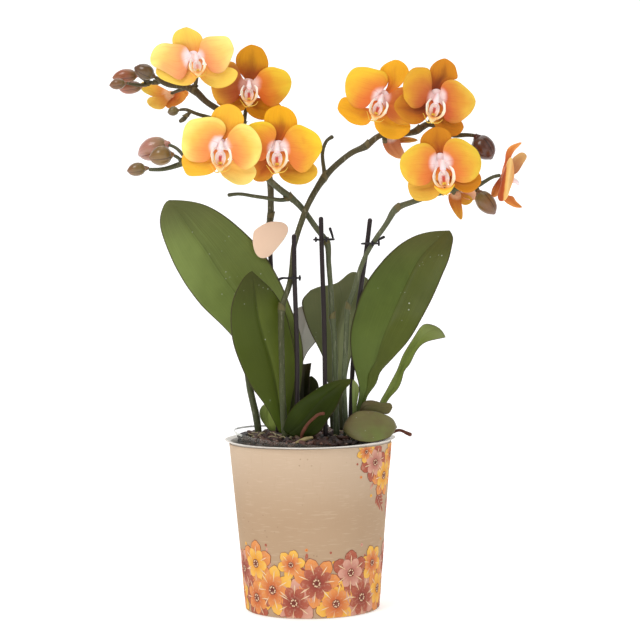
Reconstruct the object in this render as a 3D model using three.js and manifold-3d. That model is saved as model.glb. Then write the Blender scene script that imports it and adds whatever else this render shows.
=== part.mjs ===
// Moth orchid with four flower spikes, in a clear grow pot set in a tapered kraft card pot cover.
// Millimetres, +Z up. The origin is the centre of the flat base; the front of the plant faces -Y.
import * as THREE from 'three';
import { mergeVertices } from 'three/addons/utils/BufferGeometryUtils.js';
import Module from 'manifold-3d';

const wasm = await Module();
wasm.setup();

// ---------------------------------------------------------------- driving dimensions
const GAP = 0.35;            // clearance between separate pieces
const SIDES = 40;            // facets around the pots

const SLEEVE_H = 102;        // top edge of the card cover
const SLEEVE_R0 = 40.8;      // outer radius at the foot
const SLEEVE_R1 = 49.8;      // outer radius at the top edge
const CARD_T = 0.6;          // card thickness
const SLEEVE_LIFT = 0.4;     // the card starts this far above the floor

const LINER_T = 0.8;         // white liner wall
const LIP_R = 52.4;          // flared lip of the liner
const LIP_Z = 104.9;         // top of the lip at the sides and back
const LIP_DROOP = 1.6;       // the lip is this much lower at the very front

const GROW_TOP = 106;        // mean height of the clear grow pot's rim
const GROW_LEAN = [-0.09, 0.03];   // the rim stands higher at the left and back: rise per mm of x and y
const GROW_R1 = 47.0;        // outer radius of the grow pot at its rim
const GROW_R0 = 36.5;        // outer radius of the grow pot at its base
const GROW_Z0 = 2.6;         // the grow pot stands on the liner's floor
const GROW_T = 0.8;

const BARK_TOP = 105.2;      // mean level of the bark
const STEM_SIDES = 8;
const LEAF_T = 1.7;          // leaf thickness at the midrib
const PETAL_T = 1.0;         // petal thickness at its middle
const STAKE_R = 1.5;
const TAG_T = 0.9;

// front elevation sheet: u to the right, v downward, one unit is about 0.61 mm at the pot's axis.
// The sheet is drawn in perspective from an eye point in front of the pot, so a point of the
// plant is given by its place on the sheet and its own depth y.
const EYE = { back: 1100, up: 205, side: 7, reach: 1793, tilt: 1.5, roll: 0.8 };

// ---------------------------------------------------------------- helpers
const rad = THREE.MathUtils.degToRad;
const eyeAt = new THREE.Vector3(EYE.side, -EYE.back, EYE.up);
const fwd = new THREE.Vector3(0, Math.cos(rad(EYE.tilt)), -Math.sin(rad(EYE.tilt)));
const upv = new THREE.Vector3(0, Math.sin(rad(EYE.tilt)), Math.cos(rad(EYE.tilt)));
const rgt = new THREE.Vector3(1, 0, 0);
const across = rgt.clone().multiplyScalar(Math.cos(rad(EYE.roll))).addScaledVector(upv, -Math.sin(rad(EYE.roll)));
const along = rgt.clone().multiplyScalar(Math.sin(rad(EYE.roll))).addScaledVector(upv, Math.cos(rad(EYE.roll)));

// world point at sheet place (u, v) and depth y
function at(u, v, y) {
  const d = fwd.clone().multiplyScalar(EYE.reach).addScaledVector(across, u - 320).addScaledVector(along, 321 - v);
  return eyeAt.clone().addScaledVector(d, (y + EYE.back) / d.y);
}

function volume(g) {
  const p = g.attributes.position, ix = g.index.array;
  let s = 0;
  for (let i = 0; i < ix.length; i += 3) {
    const [a, b, c] = [ix[i], ix[i + 1], ix[i + 2]];
    s += p.getX(a) * (p.getY(b) * p.getZ(c) - p.getZ(b) * p.getY(c))
       - p.getY(a) * (p.getX(b) * p.getZ(c) - p.getZ(b) * p.getX(c))
       + p.getZ(a) * (p.getX(b) * p.getY(c) - p.getY(b) * p.getX(c));
  }
  return s / 6;
}

// shared vertices, faces pointing out
function tidy(g) {
  for (const k of Object.keys(g.attributes)) if (k !== 'position') g.deleteAttribute(k);
  const m = mergeVertices(g, 1e-4);
  const src = m.index.array, keep = [];
  for (let i = 0; i < src.length; i += 3) {
    if (src[i] !== src[i + 1] && src[i + 1] !== src[i + 2] && src[i] !== src[i + 2]) keep.push(src[i], src[i + 1], src[i + 2]);
  }
  m.setIndex(keep);
  if (volume(m) < 0) {
    for (let i = 0; i < keep.length; i += 3) [keep[i + 1], keep[i + 2]] = [keep[i + 2], keep[i + 1]];
    m.setIndex(keep);
  }
  return m;
}

// skin through a row of rings; a ring of one point closes an end, a full ring is closed by a fan
function loft(rings) {
  const pos = [], ix = [], first = [];
  for (const r of rings) { first.push(pos.length / 3); for (const p of r) pos.push(p.x, p.y, p.z); }
  for (let k = 0; k + 1 < rings.length; k++) {
    const a = rings[k], b = rings[k + 1], n = Math.max(a.length, b.length);
    for (let i = 0; i < n; i++) {
      const j = (i + 1) % n;
      const a0 = first[k] + (a.length === 1 ? 0 : i), a1 = first[k] + (a.length === 1 ? 0 : j);
      const b0 = first[k + 1] + (b.length === 1 ? 0 : i), b1 = first[k + 1] + (b.length === 1 ? 0 : j);
      if (a.length === 1) ix.push(a0, b1, b0);
      else if (b.length === 1) ix.push(a0, a1, b0);
      else ix.push(a0, a1, b1, a0, b1, b0);
    }
  }
  for (const end of [0, rings.length - 1]) {
    const r = rings[end];
    if (r.length === 1) continue;
    const c = new THREE.Vector3();
    for (const p of r) c.add(p);
    c.divideScalar(r.length);
    const ci = pos.length / 3;
    pos.push(c.x, c.y, c.z);
    for (let i = 0; i < r.length; i++) {
      const j = (i + 1) % r.length;
      if (end === 0) ix.push(ci, first[end] + j, first[end] + i);
      else ix.push(ci, first[end] + i, first[end] + j);
    }
  }
  const g = new THREE.BufferGeometry();
  g.setAttribute('position', new THREE.Float32BufferAttribute(pos, 3));
  g.setIndex(ix);
  return tidy(g);
}

function solid(g) {
  return new wasm.Manifold(new wasm.Mesh({ numProp: 3, vertProperties: new Float32Array(g.attributes.position.array), triVerts: new Uint32Array(g.index.array) }));
}
function fromSolid(m) {
  const r = m.getMesh();
  const g = new THREE.BufferGeometry();
  g.setAttribute('position', new THREE.Float32BufferAttribute(r.vertProperties, 3));
  g.setIndex(Array.from(r.triVerts));
  return g;
}
function join(list) {
  let m = solid(list[0]);
  for (const g of list.slice(1)) m = m.add(solid(g));
  return fromSolid(m);
}

// round tube through [point, radius] pairs, one ring at each
function tube(knots, sides = STEM_SIDES) {
  const n = knots.length, rings = [];
  let side = null;
  for (let i = 0; i < n; i++) {
    const a = knots[Math.max(0, i - 1)][0], b = knots[Math.min(n - 1, i + 1)][0];
    const t = b.clone().sub(a).normalize();
    if (!side) side = new THREE.Vector3(0, 1, 0).cross(t).lengthSq() > 0.05 ? new THREE.Vector3(0, 1, 0).cross(t) : new THREE.Vector3(1, 0, 0).cross(t);
    side.addScaledVector(t, -side.dot(t)).normalize();
    const other = t.clone().cross(side);
    const ring = [];
    for (let k = 0; k < sides; k++) {
      const w = (2 * Math.PI * k) / sides;
      ring.push(knots[i][0].clone().addScaledVector(side, Math.cos(w) * knots[i][1]).addScaledVector(other, Math.sin(w) * knots[i][1]));
    }
    rings.push(ring);
  }
  return loft(rings);
}
// tube given on the sheet: rows of [u, v, y, radius]
const stem = (rows, sides) => tube(rows.map(([u, v, y, r]) => [at(u, v, y), r]), sides);

// thin blade: each row runs from the left edge to the right edge; its cut is a flat lens
const ACROSS = [-1, -0.5, 0, 0.5, 1];
function blade(rows, tip, thick) {
  const n = rows.length;
  const lines = rows.map((row) => {
    if (row.length === 5) return row;
    const [l, m, r] = row;
    const half = r.clone().sub(l).multiplyScalar(0.5), bow = l.clone().add(r).multiplyScalar(0.5).sub(m);
    return ACROSS.map((t) => m.clone().addScaledVector(half, t).addScaledVector(bow, t * t));
  });

  const rings = lines.map((line, k) => {
    const prev = k > 0 ? lines[k - 1][2] : line[2];
    const next = k < n - 1 ? lines[k + 1][2] : tip || line[2];
    const nrm = next.clone().sub(prev).cross(line[4].clone().sub(line[0])).normalize();
    const wide = line[4].distanceTo(line[0]);
    const th = Math.min(thick, 0.45 * wide) * (!tip && k === n - 1 ? 0.4 : 1);
    const front = line.map((p, i) => (i === 0 || i === 4 ? p.clone() : p.clone().addScaledVector(nrm, th * (i === 2 ? 0.5 : 0.42))));
    const back = [3, 2, 1].map((i) => line[i].clone().addScaledVector(nrm, -th * (i === 2 ? 0.5 : 0.42)));
    return [...front, ...back];
  });
  if (tip) rings.push([tip]);
  return loft(rings);
}
// petal-like blade: one ridge along the middle, front and back
function slip(rows, tip, thick) {
  const n = rows.length;
  const rings = rows.map(([l, m, r], k) => {
    const prev = k > 0 ? rows[k - 1][1] : m, next = k < n - 1 ? rows[k + 1][1] : tip;
    const nrm = next.clone().sub(prev).cross(r.clone().sub(l)).normalize();
    return [l, m.clone().addScaledVector(nrm, thick / 2), r, m.clone().addScaledVector(nrm, -thick / 2)];
  });
  rings.push([tip]);
  return loft(rings);
}
// leaf: rows of [uL, vL, uM, vM, uR, vR, yL, yM, yR], base first, and the tip [u, v, y]
function leaf(rows, tip, thick = LEAF_T) {
  return blade(rows.map((r) => (r.length === 9
    ? [at(r[0], r[1], r[6]), at(r[2], r[3], r[7]), at(r[4], r[5], r[8])]
    : [0, 1, 2, 3, 4].map((i) => at(r[3 * i], r[3 * i + 1], r[3 * i + 2])))), tip ? at(...tip) : null, thick);
}

function ball(centre, rx, ry, rz, segs = 6, rings = 4) {
  const g = new THREE.SphereGeometry(1, segs, rings);
  g.scale(rx, ry, rz);
  g.translate(centre.x, centre.y, centre.z);
  return tidy(g);
}

// bud: a pointed egg between two sheet places
function bud(u0, v0, y0, u1, v1, y1, r) {
  const a = at(u0, v0, y0), b = at(u1, v1, y1);
  const t = b.clone().sub(a);
  const s = new THREE.Vector3(0, 1, 0).cross(t).normalize();
  const o = t.clone().normalize().cross(s);
  const rings = [[a]];
  for (const [f, w] of [[0.1, 0.55], [0.3, 0.92], [0.5, 1], [0.72, 0.82], [0.9, 0.42]]) {
    const ring = [];
    for (let k = 0; k < 8; k++) {
      const q = (2 * Math.PI * k) / 8;
      ring.push(a.clone().addScaledVector(t, f).addScaledVector(s, Math.cos(q) * r * w).addScaledVector(o, Math.sin(q) * r * w));
    }
    rings.push(ring);
  }
  rings.push([b]);
  return loft(rings);
}

// ---------------------------------------------------------------- pots and bark
const lathe = (pts, sides = SIDES) => tidy(new THREE.LatheGeometry(pts.map(([r, z]) => new THREE.Vector2(r, z)), sides).rotateX(Math.PI / 2));

const sleeveR = (z) => SLEEVE_R0 + ((SLEEVE_R1 - SLEEVE_R0) * z) / SLEEVE_H;
function sleeveGeometry() {
  const z0 = SLEEVE_LIFT, z1 = SLEEVE_H;
  return lathe([[sleeveR(z0), z0], [sleeveR(z1), z1], [sleeveR(z1) - CARD_T, z1], [sleeveR(z0) - CARD_T, z0], [sleeveR(z0), z0]]);
}
function linerGeometry() {
  const out = (z) => sleeveR(z) - CARD_T - GAP;
  const inn = (z) => out(z) - LINER_T;
  const g = lathe([
    [0, 0], [out(0) - 0.8, 0], [out(1), 1], [out(101.6), 101.6], [SLEEVE_R1 - 0.3, SLEEVE_H + 1.25],
    [LIP_R, LIP_Z - 0.5], [LIP_R - 0.3, LIP_Z], [inn(101.4) + 0.9, SLEEVE_H + 1.7], [inn(101), 101],
    [inn(1.6), 1.6], [0, 1.6],
  ]);
  const p = g.attributes.position;
  for (let i = 0; i < p.count; i++) {
    const f = Math.max(0, -p.getY(i) / LIP_R), k = Math.min(1, Math.max(0, (p.getZ(i) - SLEEVE_H - 0.8) / 1.6));
    p.setZ(i, p.getZ(i) - LIP_DROOP * f * f * k);
  }
  return g;
}
const growR = (z) => GROW_R0 + ((GROW_R1 - GROW_R0) * (z - GROW_Z0)) / (GROW_TOP - GROW_Z0);
function growGeometry() {
  const g = lathe([
    [0, GROW_Z0], [GROW_R0, GROW_Z0], [growR(80), 80], [growR(GROW_TOP), GROW_TOP], [growR(GROW_TOP) - GROW_T, GROW_TOP],
    [growR(80) - GROW_T, 80], [growR(4) - GROW_T, 4], [0, 4],
  ]);
  const p = g.attributes.position;
  for (let i = 0; i < p.count; i++) {
    if (p.getZ(i) > 100) p.setZ(i, p.getZ(i) + GROW_LEAN[0] * p.getX(i) + GROW_LEAN[1] * p.getY(i));
  }
  return g;
}
// the bark fills the grow pot; its top is heaped and lumpy
function barkTop(x, y) {
  const r = Math.hypot(x, y);
  const heap = 1.2 * Math.cos((Math.PI * r) / 100) + 0.022 * y;
  return BARK_TOP + heap + 0.8 * Math.sin(0.31 * x + 1.1) * Math.cos(0.27 * y - 0.6) + 0.5 * Math.sin(0.13 * (x + 2.1 * y));
}
function barkGeometry() {
  const rings = [], base = [];
  const n = 32, z0 = 4 + GAP;
  for (let k = 0; k < n; k++) {
    const w = (2 * Math.PI * k) / n, r = growR(z0) - GROW_T - 0.6;
    base.push(new THREE.Vector3(r * Math.cos(w), r * Math.sin(w), z0));
  }
  rings.push([new THREE.Vector3(0, 0, z0)], base);
  for (const f of [1, 0.8, 0.6, 0.4, 0.2]) {
    const ring = [];
    for (let k = 0; k < n; k++) {
      const w = (2 * Math.PI * k) / n, r = (growR(100) - GROW_T - 0.7) * f;
      const x = r * Math.cos(w), y = r * Math.sin(w);
      ring.push(new THREE.Vector3(x, y, barkTop(x, y) - (f === 1 ? 1.6 : 0)));
    }
    rings.push(ring);
  }
  rings.push([new THREE.Vector3(0, 0, barkTop(0, 0))]);
  return loft(rings);
}

// ---------------------------------------------------------------- flower spikes
const spikeA = () => join([
  stem([[285.5, 435.5, -20, 2.2], [283, 405, -20, 1.96], [282, 378, -20, 1.88], [281.5, 345, -20, 1.8], [281.3, 315, -19.5, 1.88],
    [281.7, 309, -19.5, 2.29], [283, 303, -19, 1.8], [287, 292, -18, 1.72], [291, 277, -17, 1.72], [294, 247, -15.5, 1.65],
    [300, 226, -14.5, 1.78], [307, 207, -13.5, 1.79], [316, 190, -11, 1.9], [324, 178, -7, 2.3], [331, 170, -6, 1.9],
    [342, 160, -5, 1.8], [355, 151, -4, 1.8], [366, 146, -3, 2.2], [379, 136, -1, 1.8], [395, 134, 0, 1.7], [410, 133, -1, 1.8],
    [418, 130, -1, 2.2], [429, 124, -1, 1.9], [442, 130, -2, 1.7], [453, 135, -2, 1.6], [466, 135, -3, 1.3], [474.3, 135.6, -4, 1.1]]),
  stem([[325, 178, -7, 1.5], [323.5, 166, -7, 1.2], [322.5, 154, -7, 1.1], [324.5, 145, -7, 1.1], [328, 139.5, -7, 1.0], [332, 137, -7, 1.3]], 6),
  stem([[388, 134, -1, 1.4], [384, 118, -4, 1.2], [381, 101, -7.2, 1.1]], 6),
  stem([[383, 135.5, -0.5, 1.4], [385, 140, 1.8, 1.2], [385.6, 142, 3.6, 1.0]], 6),
  stem([[429, 124.5, -1, 1.4], [433, 112, -8, 1.2], [435.5, 101, -17.2, 1.1]], 6),
]);
const spikeB = () => join([
  stem([[336.5, 436, -12, 1.87], [335.5, 400, -12, 1.72], [335, 378, -12, 1.65], [334.5, 345, -12, 1.65], [333.2, 326, -12, 1.65], [332, 317, -12, 2.08],
    [331.5, 309, -12, 1.65], [330, 279, -12, 1.58], [328.5, 257, -12, 1.58], [327, 243, -12, 1.94], [321, 234, -11, 1.74], [310, 219, -8.5, 1.72],
    [300, 206, -8, 1.84], [290, 197, -9.5, 2.12], [276, 186, -12.5, 1.9], [266, 177, -15.5, 1.9], [250, 167, -19.5, 1.8], [232, 164, -20, 1.7],
    [212, 163, -19, 1.7], [196, 163, -17.5, 1.6], [183, 163.5, -15.5, 1.8], [172, 167, -15, 1.5], [160, 169.5, -15, 1.2], [150, 169.5, -15, 1.1]]),
  stem([[291, 198, -9.5, 1.5], [282, 200, -10.5, 1.3], [270, 198.5, -11.5, 1.2], [253, 196, -13, 1.1], [238, 194, -14, 1.0], [229, 195, -14, 1.2]], 6),
  stem([[266, 177, -15.5, 1.3], [271, 162, -21.5, 1.2], [277, 149, -25.2, 1.1]], 6),
  stem([[222, 164, -20, 1.3], [221, 156, -27, 1.2], [220, 147, -35.2, 1.1]], 6),
  stem([[190, 163, -16.5, 1.2], [183, 155, -15.5, 1.1], [176, 148, -13, 1.0], [169.5, 145, -10.8, 1.0]], 6),
  stem([[181, 164, -15.5, 1.2], [179.5, 159, -19.5, 1.1], [174.8, 155.8, -22.2, 1.0]], 6),
]);
const spikeC = () => join([
  stem([[346.5, 435.5, -14, 1.72], [344.5, 400, -14, 1.58], [344, 380, -14, 1.51], [345, 360, -14, 1.51], [346, 338, -14, 1.51], [347, 316, -14, 1.51],
    [348, 308, -14, 1.79], [350.5, 300, -14, 1.44], [354, 290, -14, 1.44], [361, 267, -14, 1.44], [367, 253, -14, 1.37], [377, 237, -13, 1.5],
    [388, 221, -12, 1.66], [396, 209, -11, 2.15], [406, 204, -10, 1.75], [418, 200, -9, 1.7], [432, 195, -8, 1.75], [450, 190, -7.5, 1.7],
    [466, 187, -7, 1.6], [475, 186, -7, 1.7], [484, 182, -7, 1.2], [493, 177, -7, 1.1], [499.3, 175.4, -7, 1.1]]),
  stem([[442, 192.5, -7.5, 1.4], [442, 181, -14, 1.2], [441.5, 167, -23.2, 1.1]], 6),
  stem([[451, 190, -7.5, 1.3], [454.5, 192, -5.6, 1.1]], 6),
  stem([[475, 186, -7, 1.4], [477, 188.5, -8, 1.2], [478.2, 190.5, -8.6, 1.1]], 6),
]);
const spikeD = () => join([
  stem([[258.5, 432, 8, 2.18], [255.5, 413, 8, 2.18], [252, 398, 8, 2.09], [249, 382, 8, 2.09], [246.5, 358, 9, 2.09], [246, 330, 10.5, 2.09],
    [248, 300, 12, 1.99], [254, 270, 12.5, 1.99], [262, 246, 12, 2], [268.5, 228, 10, 2.03], [270.6, 215, 8, 2.06], [270.8, 200, 5, 1.98],
    [270.3, 184, 2, 2], [266, 165, 0, 2], [256, 146, -1, 2], [240, 125, -3, 2], [227, 114.5, -4, 2], [216, 108, -5, 1.9],
    [205, 100.5, -6, 1.9], [193.5, 90, -7, 2.4], [182, 86.3, -8.5, 1.8], [168, 84.5, -9, 1.6], [161, 81.2, -10.5, 1.5], [156.2, 77.9, -12, 1.2]]),
  stem([[240, 125, -3, 1.4], [228, 122, -3.5, 1.3], [208, 117, -6, 1.2], [193, 112.3, -8, 1.1], [185, 109.5, -8, 1.0], [180.3, 109.8, -8, 0.9]], 6),
  stem([[190.5, 111.7, -8, 1.1], [187, 115.5, -8, 1.2], [183, 119.5, -8, 1.7], [180.3, 121.2, -8, 1.1]], 6),
  stem([[243, 128, -3, 1.3], [246, 108, -6.5, 1.2], [247.5, 86, -9.2, 1.1]], 6),
  stem([[193.5, 90, -7, 1.5], [196, 82, -12, 1.2], [196.5, 66, -19.2, 1.1]], 6),
  stem([[186, 87.5, -8, 1.2], [180, 90, -3, 1.1], [172, 93, 4.4, 1.0]], 6),
  stem([[160.5, 81.5, -10.2, 1.3], [151, 82.5, -6, 1.2], [144.5, 79.5, -5, 1.1], [139.6, 76.2, -3.2, 0.9]], 6),
  stem([[151, 82.5, -6, 1.1], [146.5, 85, -2, 1.0], [143.8, 85.6, 1.9, 0.9]], 6),
  stem([[151, 82.5, -6, 1.1], [140, 85, -11, 1.0], [127.6, 83.3, -13.8, 0.9]], 6),
]);

// ---------------------------------------------------------------- flowers
// A tepal is given by its two margins on the sheet, from the hub out to a shared tip: [[left places], tip, [right places]].
function walk(list, s) {
  const d = [0];
  for (let i = 1; i < list.length; i++) d.push(d[i - 1] + Math.hypot(list[i][0] - list[i - 1][0], list[i][1] - list[i - 1][1]));
  const x = s * d[d.length - 1];
  let i = 1;
  while (i < list.length - 1 && d[i] < x) i++;
  const f = (x - d[i - 1]) / (d[i] - d[i - 1]);
  return [list[i - 1][0] + (list[i][0] - list[i - 1][0]) * f, list[i - 1][1] + (list[i][1] - list[i - 1][1]) * f];
}
// the margins start at the hub, a little to each side of its middle
function margins(c, [L, T, R], start = 2.6) {
  const du = (L[0][0] + R[0][0]) / 2 - c[0], dv = (L[0][1] + R[0][1]) / 2 - c[1];
  const su = R[0][0] - L[0][0], sv = R[0][1] - L[0][1], n = Math.hypot(su, sv) || 1;
  const a = [c[0] - (su / n) * start + du * 0.1, c[1] - (sv / n) * start + dv * 0.1], b = [c[0] + (su / n) * start + du * 0.1, c[1] + (sv / n) * start + dv * 0.1];
  return [[a, ...L, T], [b, ...R, T]];
}
const STATIONS = [0.04, 0.28, 0.52, 0.75, 0.92];
// y0 and y1 are the depths at the hub and the tip; bow and rim bend the middle and the margins in depth
function tepal(c, shape, y0, y1, bow, rim, face = [0, 0], stations = STATIONS) {
  const mid = at(c[0], c[1], y0), [A, B] = margins(c, shape);
  const lean = (p) => { p.y += face[0] * (p.x - mid.x) + face[1] * (p.z - mid.z); return p; };
  const rows = stations.map((s) => {
    const [a, b] = [walk(A, s), walk(B, s)], y = y0 + (y1 - y0) * s;
    const e = rim * Math.sin(Math.PI * Math.min(1, s + 0.1)), w = bow * Math.sin(Math.PI * s);
    return [at(a[0], a[1], y + w + e), at((a[0] + b[0]) / 2, (a[1] + b[1]) / 2, y + w), at(b[0], b[1], y + w + e)].map(lean);
  });
  return slip(rows, lean(at(shape[1][0], shape[1][1], y1)), PETAL_T);
}
// a flower seen from the front: dorsal, lower left and lower right sepals behind, left and right petals before them
function flower(f) {
  const parts = [ball(at(f.c[0], f.c[1], f.y + 0.8), 4.2, 2.6, 4.2)];
  for (const k of ['D', 'LL', 'LR']) parts.push(tepal(f.c, f[k], f.y + 1.9, f.y + 2.3, 0.9, -0.9, f.face));
  for (const k of ['L', 'R']) parts.push(tepal(f.c, f[k], f.y, f.y + 0.6, -1.6, 1.3, f.face));
  return join(parts);
}
// lip: two slender side lobes curving up like horns, a flared middle lobe of half width w, and the column above;
// turn leans its foot to the left, in degrees
function lip(f) {
  const [u, v] = f.lip, y = f.y - 3.6, k = f.k, w = f.w;
  const [co, si] = [Math.cos(rad(f.turn)), Math.sin(rad(f.turn))];
  const P = (du, dv, dy) => at(u + (du * co - dv * si) * k, v + (du * si + dv * co) * k, y + dy);
  const arm = (s) => tube([[P(s * 1.2, 12, -2.0), 1.0], [P(s * 6.4, 9.6, -2.8), 1.2], [P(s * 9.7, 3, -3.0), 1.2], [P(s * 9.0, -4, -2.6), 0.95], [P(s * 6.2, -8.5, -1.8), 0.5]], 5);
  return join([
    tube([[P(0, -14, 0.2), 1.2], [P(0, -9, -1.2), 1.9], [P(0, -3, -1.0), 1.7], [P(0, 5, -0.6), 1.7], [P(0, 12, -1.8), 1.3]], 5),
    arm(1), arm(-1),
    slip([[P(-2.4, 10.5, -2.0), P(0, 11, -2.4), P(2.4, 10.5, -2.0)], [P(-w, 12, -3.4), P(0, 13.6, -3.2), P(w, 11.4, -3.4)], [P(-w * 0.62, 16.6, -3.8), P(0, 17.4, -3.6), P(w * 0.62, 16.2, -3.8)]],
      P(0, 19.2, -3.6), 1.3),
  ]);
}

const FLOWERS = [
  { c: [194, 58], y: -24, face: [-0.15, -0.12], lip: [197, 64], k: 0.72, turn: -8, w: 6,
    D: [[[189, 55], [180, 50], [173, 44], [172.5, 38], [175.5, 32], [181, 29]], [187, 27.8], [[197, 54], [202, 47], [203, 40.5], [201, 35.5], [197, 32], [192, 29.3]]],
    L: [[[190, 53], [187, 48], [180, 44.5], [171, 43.5], [162, 43], [155, 46.5], [151, 52.5]], [149.8, 58.5], [[189, 61], [187, 69], [184, 76], [179.5, 79], [173, 76.5], [165, 71.5], [157, 67.5], [151.5, 64]]],
    R: [[[198, 53], [200, 47], [202, 41], [206, 38], [214, 37], [222, 36.8], [228, 38], [232, 43]], [234, 50], [[203, 59], [207, 65], [212, 71.5], [218, 73.5], [224, 71.5], [229, 65], [232.2, 57.5]]],
    LL: [[[188, 64], [178, 62], [166, 61], [158, 64]], [155.5, 72], [[197, 76], [193, 82.5], [185, 85], [176, 84], [166, 80.7], [159, 77]]],
    LR: [[[203, 65], [212, 65], [222, 67], [232, 68.5]], [237.6, 73], [[199, 76], [203, 81], [209, 85.5], [217, 88], [225, 87.2], [231.5, 84], [236.3, 79]]] },
  { c: [249, 86], y: -14, face: [0.14, -0.15], lip: [249, 92], k: 0.8, turn: 0, w: 6.5,
    D: [[[246, 81], [240, 73], [236.5, 65], [236.5, 58], [239.5, 52.5], [245, 48]], [251.5, 45.5], [[253, 81], [261, 74], [268, 66.5], [267.5, 59], [265, 53], [261.5, 48.6], [257, 46.6]]],
    L: [[[244, 80], [239, 70], [234, 63], [226, 63], [217, 70], [212.5, 79]], [211.8, 88], [[241, 92], [238, 98], [232, 103], [225, 104.5], [218, 102.5], [213.6, 96.5]]],
    R: [[[254, 80], [260, 72], [266, 68], [272, 66.8], [279, 68.3], [285, 70.5], [289, 74.5]], [291.2, 81], [[257, 93], [261, 99], [266, 104], [272, 106], [278, 103.5], [283, 99], [287.5, 93.5], [290.5, 87.5]]],
    LL: [[[241, 95], [231, 96], [222, 98]], [217, 102.5], [[247, 103], [244, 109.5], [240.5, 110.8], [234, 109], [227, 107.5], [221, 106]]],
    LR: [[[256, 97], [265, 98], [275, 101]], [281.5, 106.5], [[246, 103], [247, 111], [252, 116], [258, 118.6], [266, 119], [273, 116], [278.5, 112]]] },
  { c: [220, 147], y: -40, face: [-0.1, -0.1], lip: [220.5, 155], k: 0.95, turn: 2, w: 6,
    D: [[[217, 142], [215.5, 132], [212.5, 124], [211.5, 117], [214, 111.5], [218, 107.8], [223, 105.3]], [228, 104.6], [[224, 142], [232, 134], [241, 128], [244, 122], [243, 115.5], [240.3, 110.5], [236, 106.8], [232, 105.1]]],
    L: [[[219, 142], [224, 135], [226, 128], [223, 122], [217, 118.2], [208, 117.2], [199, 118.3], [190, 120.5], [185, 126], [183, 132.5]], [182, 140], [[211, 151], [210, 157], [206, 161], [198, 162], [190, 160.5], [184.5, 156], [181.5, 148.5]]],
    R: [[[225, 142], [229, 134], [234, 128], [240, 124.3], [246, 124.6], [252, 128], [257, 133.5], [260.5, 140]], [261.8, 147.5], [[230, 152], [232, 158], [236, 163.5], [241, 168], [247, 169.4], [253, 166.5], [257.5, 162], [260.6, 155]]],
    LL: [[[211, 156], [200, 151], [189, 151], [182.5, 155]], [181.6, 162], [[217, 168], [210, 173.5], [202, 175.3], [193, 175.8], [187, 174.6], [183.5, 169.5]]],
    LR: [[[226, 160], [236, 159], [247, 162], [254.5, 167]], [256.2, 172.5], [[219.5, 169], [222, 175], [228, 180], [234, 183.5], [241, 184.8], [248, 183.6], [253, 179.5]]] },
  { c: [277, 149], y: -30, face: [0.12, -0.1], lip: [277, 156], k: 0.95, turn: 0, w: 6,
    D: [[[273, 143], [271, 134], [266, 126], [264.5, 118], [267, 111.5], [272, 107.8]], [279, 105.8], [[281, 143], [290, 133], [297, 125], [296.3, 118], [293.3, 112.5], [289.3, 109], [284.3, 106.8]]],
    L: [[[274, 144], [276, 136], [274, 127], [267, 122.3], [258, 122.3], [250, 124.8]], [244, 132], [[269, 152], [266, 158], [259, 161], [251, 157], [245.5, 147]]],
    R: [[[281, 143], [286, 133.5], [291, 127.5], [298, 124.6], [305, 126.8], [312, 130.3], [318, 135], [321.2, 141]], [322, 147.5], [[286, 152], [288, 158.5], [291.5, 165], [296.5, 170.3], [303, 172.3], [309, 168.8], [314.3, 162], [319.5, 154.5]]],
    LL: [[[268, 154], [260, 158], [254, 166], [252.3, 174]], [254.5, 180], [[277, 163], [275.3, 171], [270.5, 177.5], [265, 181], [259, 181.6]]],
    LR: [[[285, 161], [297, 159], [309, 161]], [316.8, 168], [[278, 168], [279.5, 175], [284, 180], [291, 183.3], [299, 184.2], [307, 182.8], [313.7, 178.5], [317.2, 173.5]]] },
  { c: [381, 98], y: -12, face: [-0.14, -0.12], lip: [378.5, 106.5], k: 0.85, turn: 19, w: 5.5,
    D: [[[384, 92], [388, 84], [385, 76], [380, 70.8], [383, 66], [388.5, 62.6]], [395, 60.6], [[389, 94], [398, 88], [405, 80], [408.5, 72.5], [407.3, 68.6], [404.3, 64.6], [400.3, 61.8]]],
    L: [[[380, 93], [386, 86], [388, 79.5], [385, 73], [377, 70], [369, 67.8], [361, 67], [354, 68.3], [349, 73], [346, 79.5]], [345.3, 87], [[370, 103], [366, 107], [360, 108], [353, 105.8], [348.7, 101], [346, 94.5]]],
    R: [[[387, 95], [395, 90], [403, 87.5], [411, 90], [416, 97]], [418, 105], [[385, 108], [388, 116.5], [394, 122], [401, 125], [408, 124], [414, 117.5]]],
    LL: [[[370, 108], [358, 103], [348, 97], [342.5, 97.5], [339, 102]], [337.8, 107.5], [[371, 119.5], [368, 123.5], [362, 124.9], [355, 123.8], [349, 121], [343, 115.5], [339, 111.2]]],
    LR: [[[385, 113], [395, 114], [405, 118]], [410.2, 126], [[374.5, 118], [375.5, 127], [380, 133], [386, 137.3], [393, 139], [400, 138.3], [406, 134.8], [409.5, 131]]] },
  { c: [436, 98], y: -22, face: [0.1, -0.1], lip: [435, 107], k: 0.9, turn: 13, w: 5.5,
    D: [[[432, 92], [430, 84], [429.5, 76], [430, 69], [434, 63.5], [439, 60.3]], [445, 59], [[440, 92], [444, 85], [451, 80], [457, 78.5], [456.7, 71.5], [454.8, 65.8], [450.8, 61.8]]],
    L: [[[432, 92], [432, 84], [431, 76], [429, 69.8], [421, 67.8], [413, 68.8], [408, 73], [404.3, 79.5], [402.8, 86.5]], [403.5, 93.5], [[427, 101], [422, 106], [417, 108.2], [412, 107.8], [407.8, 103.8], [404.3, 99]]],
    R: [[[440, 94], [441, 88], [444, 82.5], [450, 80], [457, 80.8], [463, 84.8], [469, 89.8], [473.4, 94.5]], [475.8, 101], [[444, 109], [444, 117], [449, 121.7], [455, 122.8], [461, 121], [466, 117.3], [470.5, 113.3], [474.3, 107.5]]],
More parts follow.
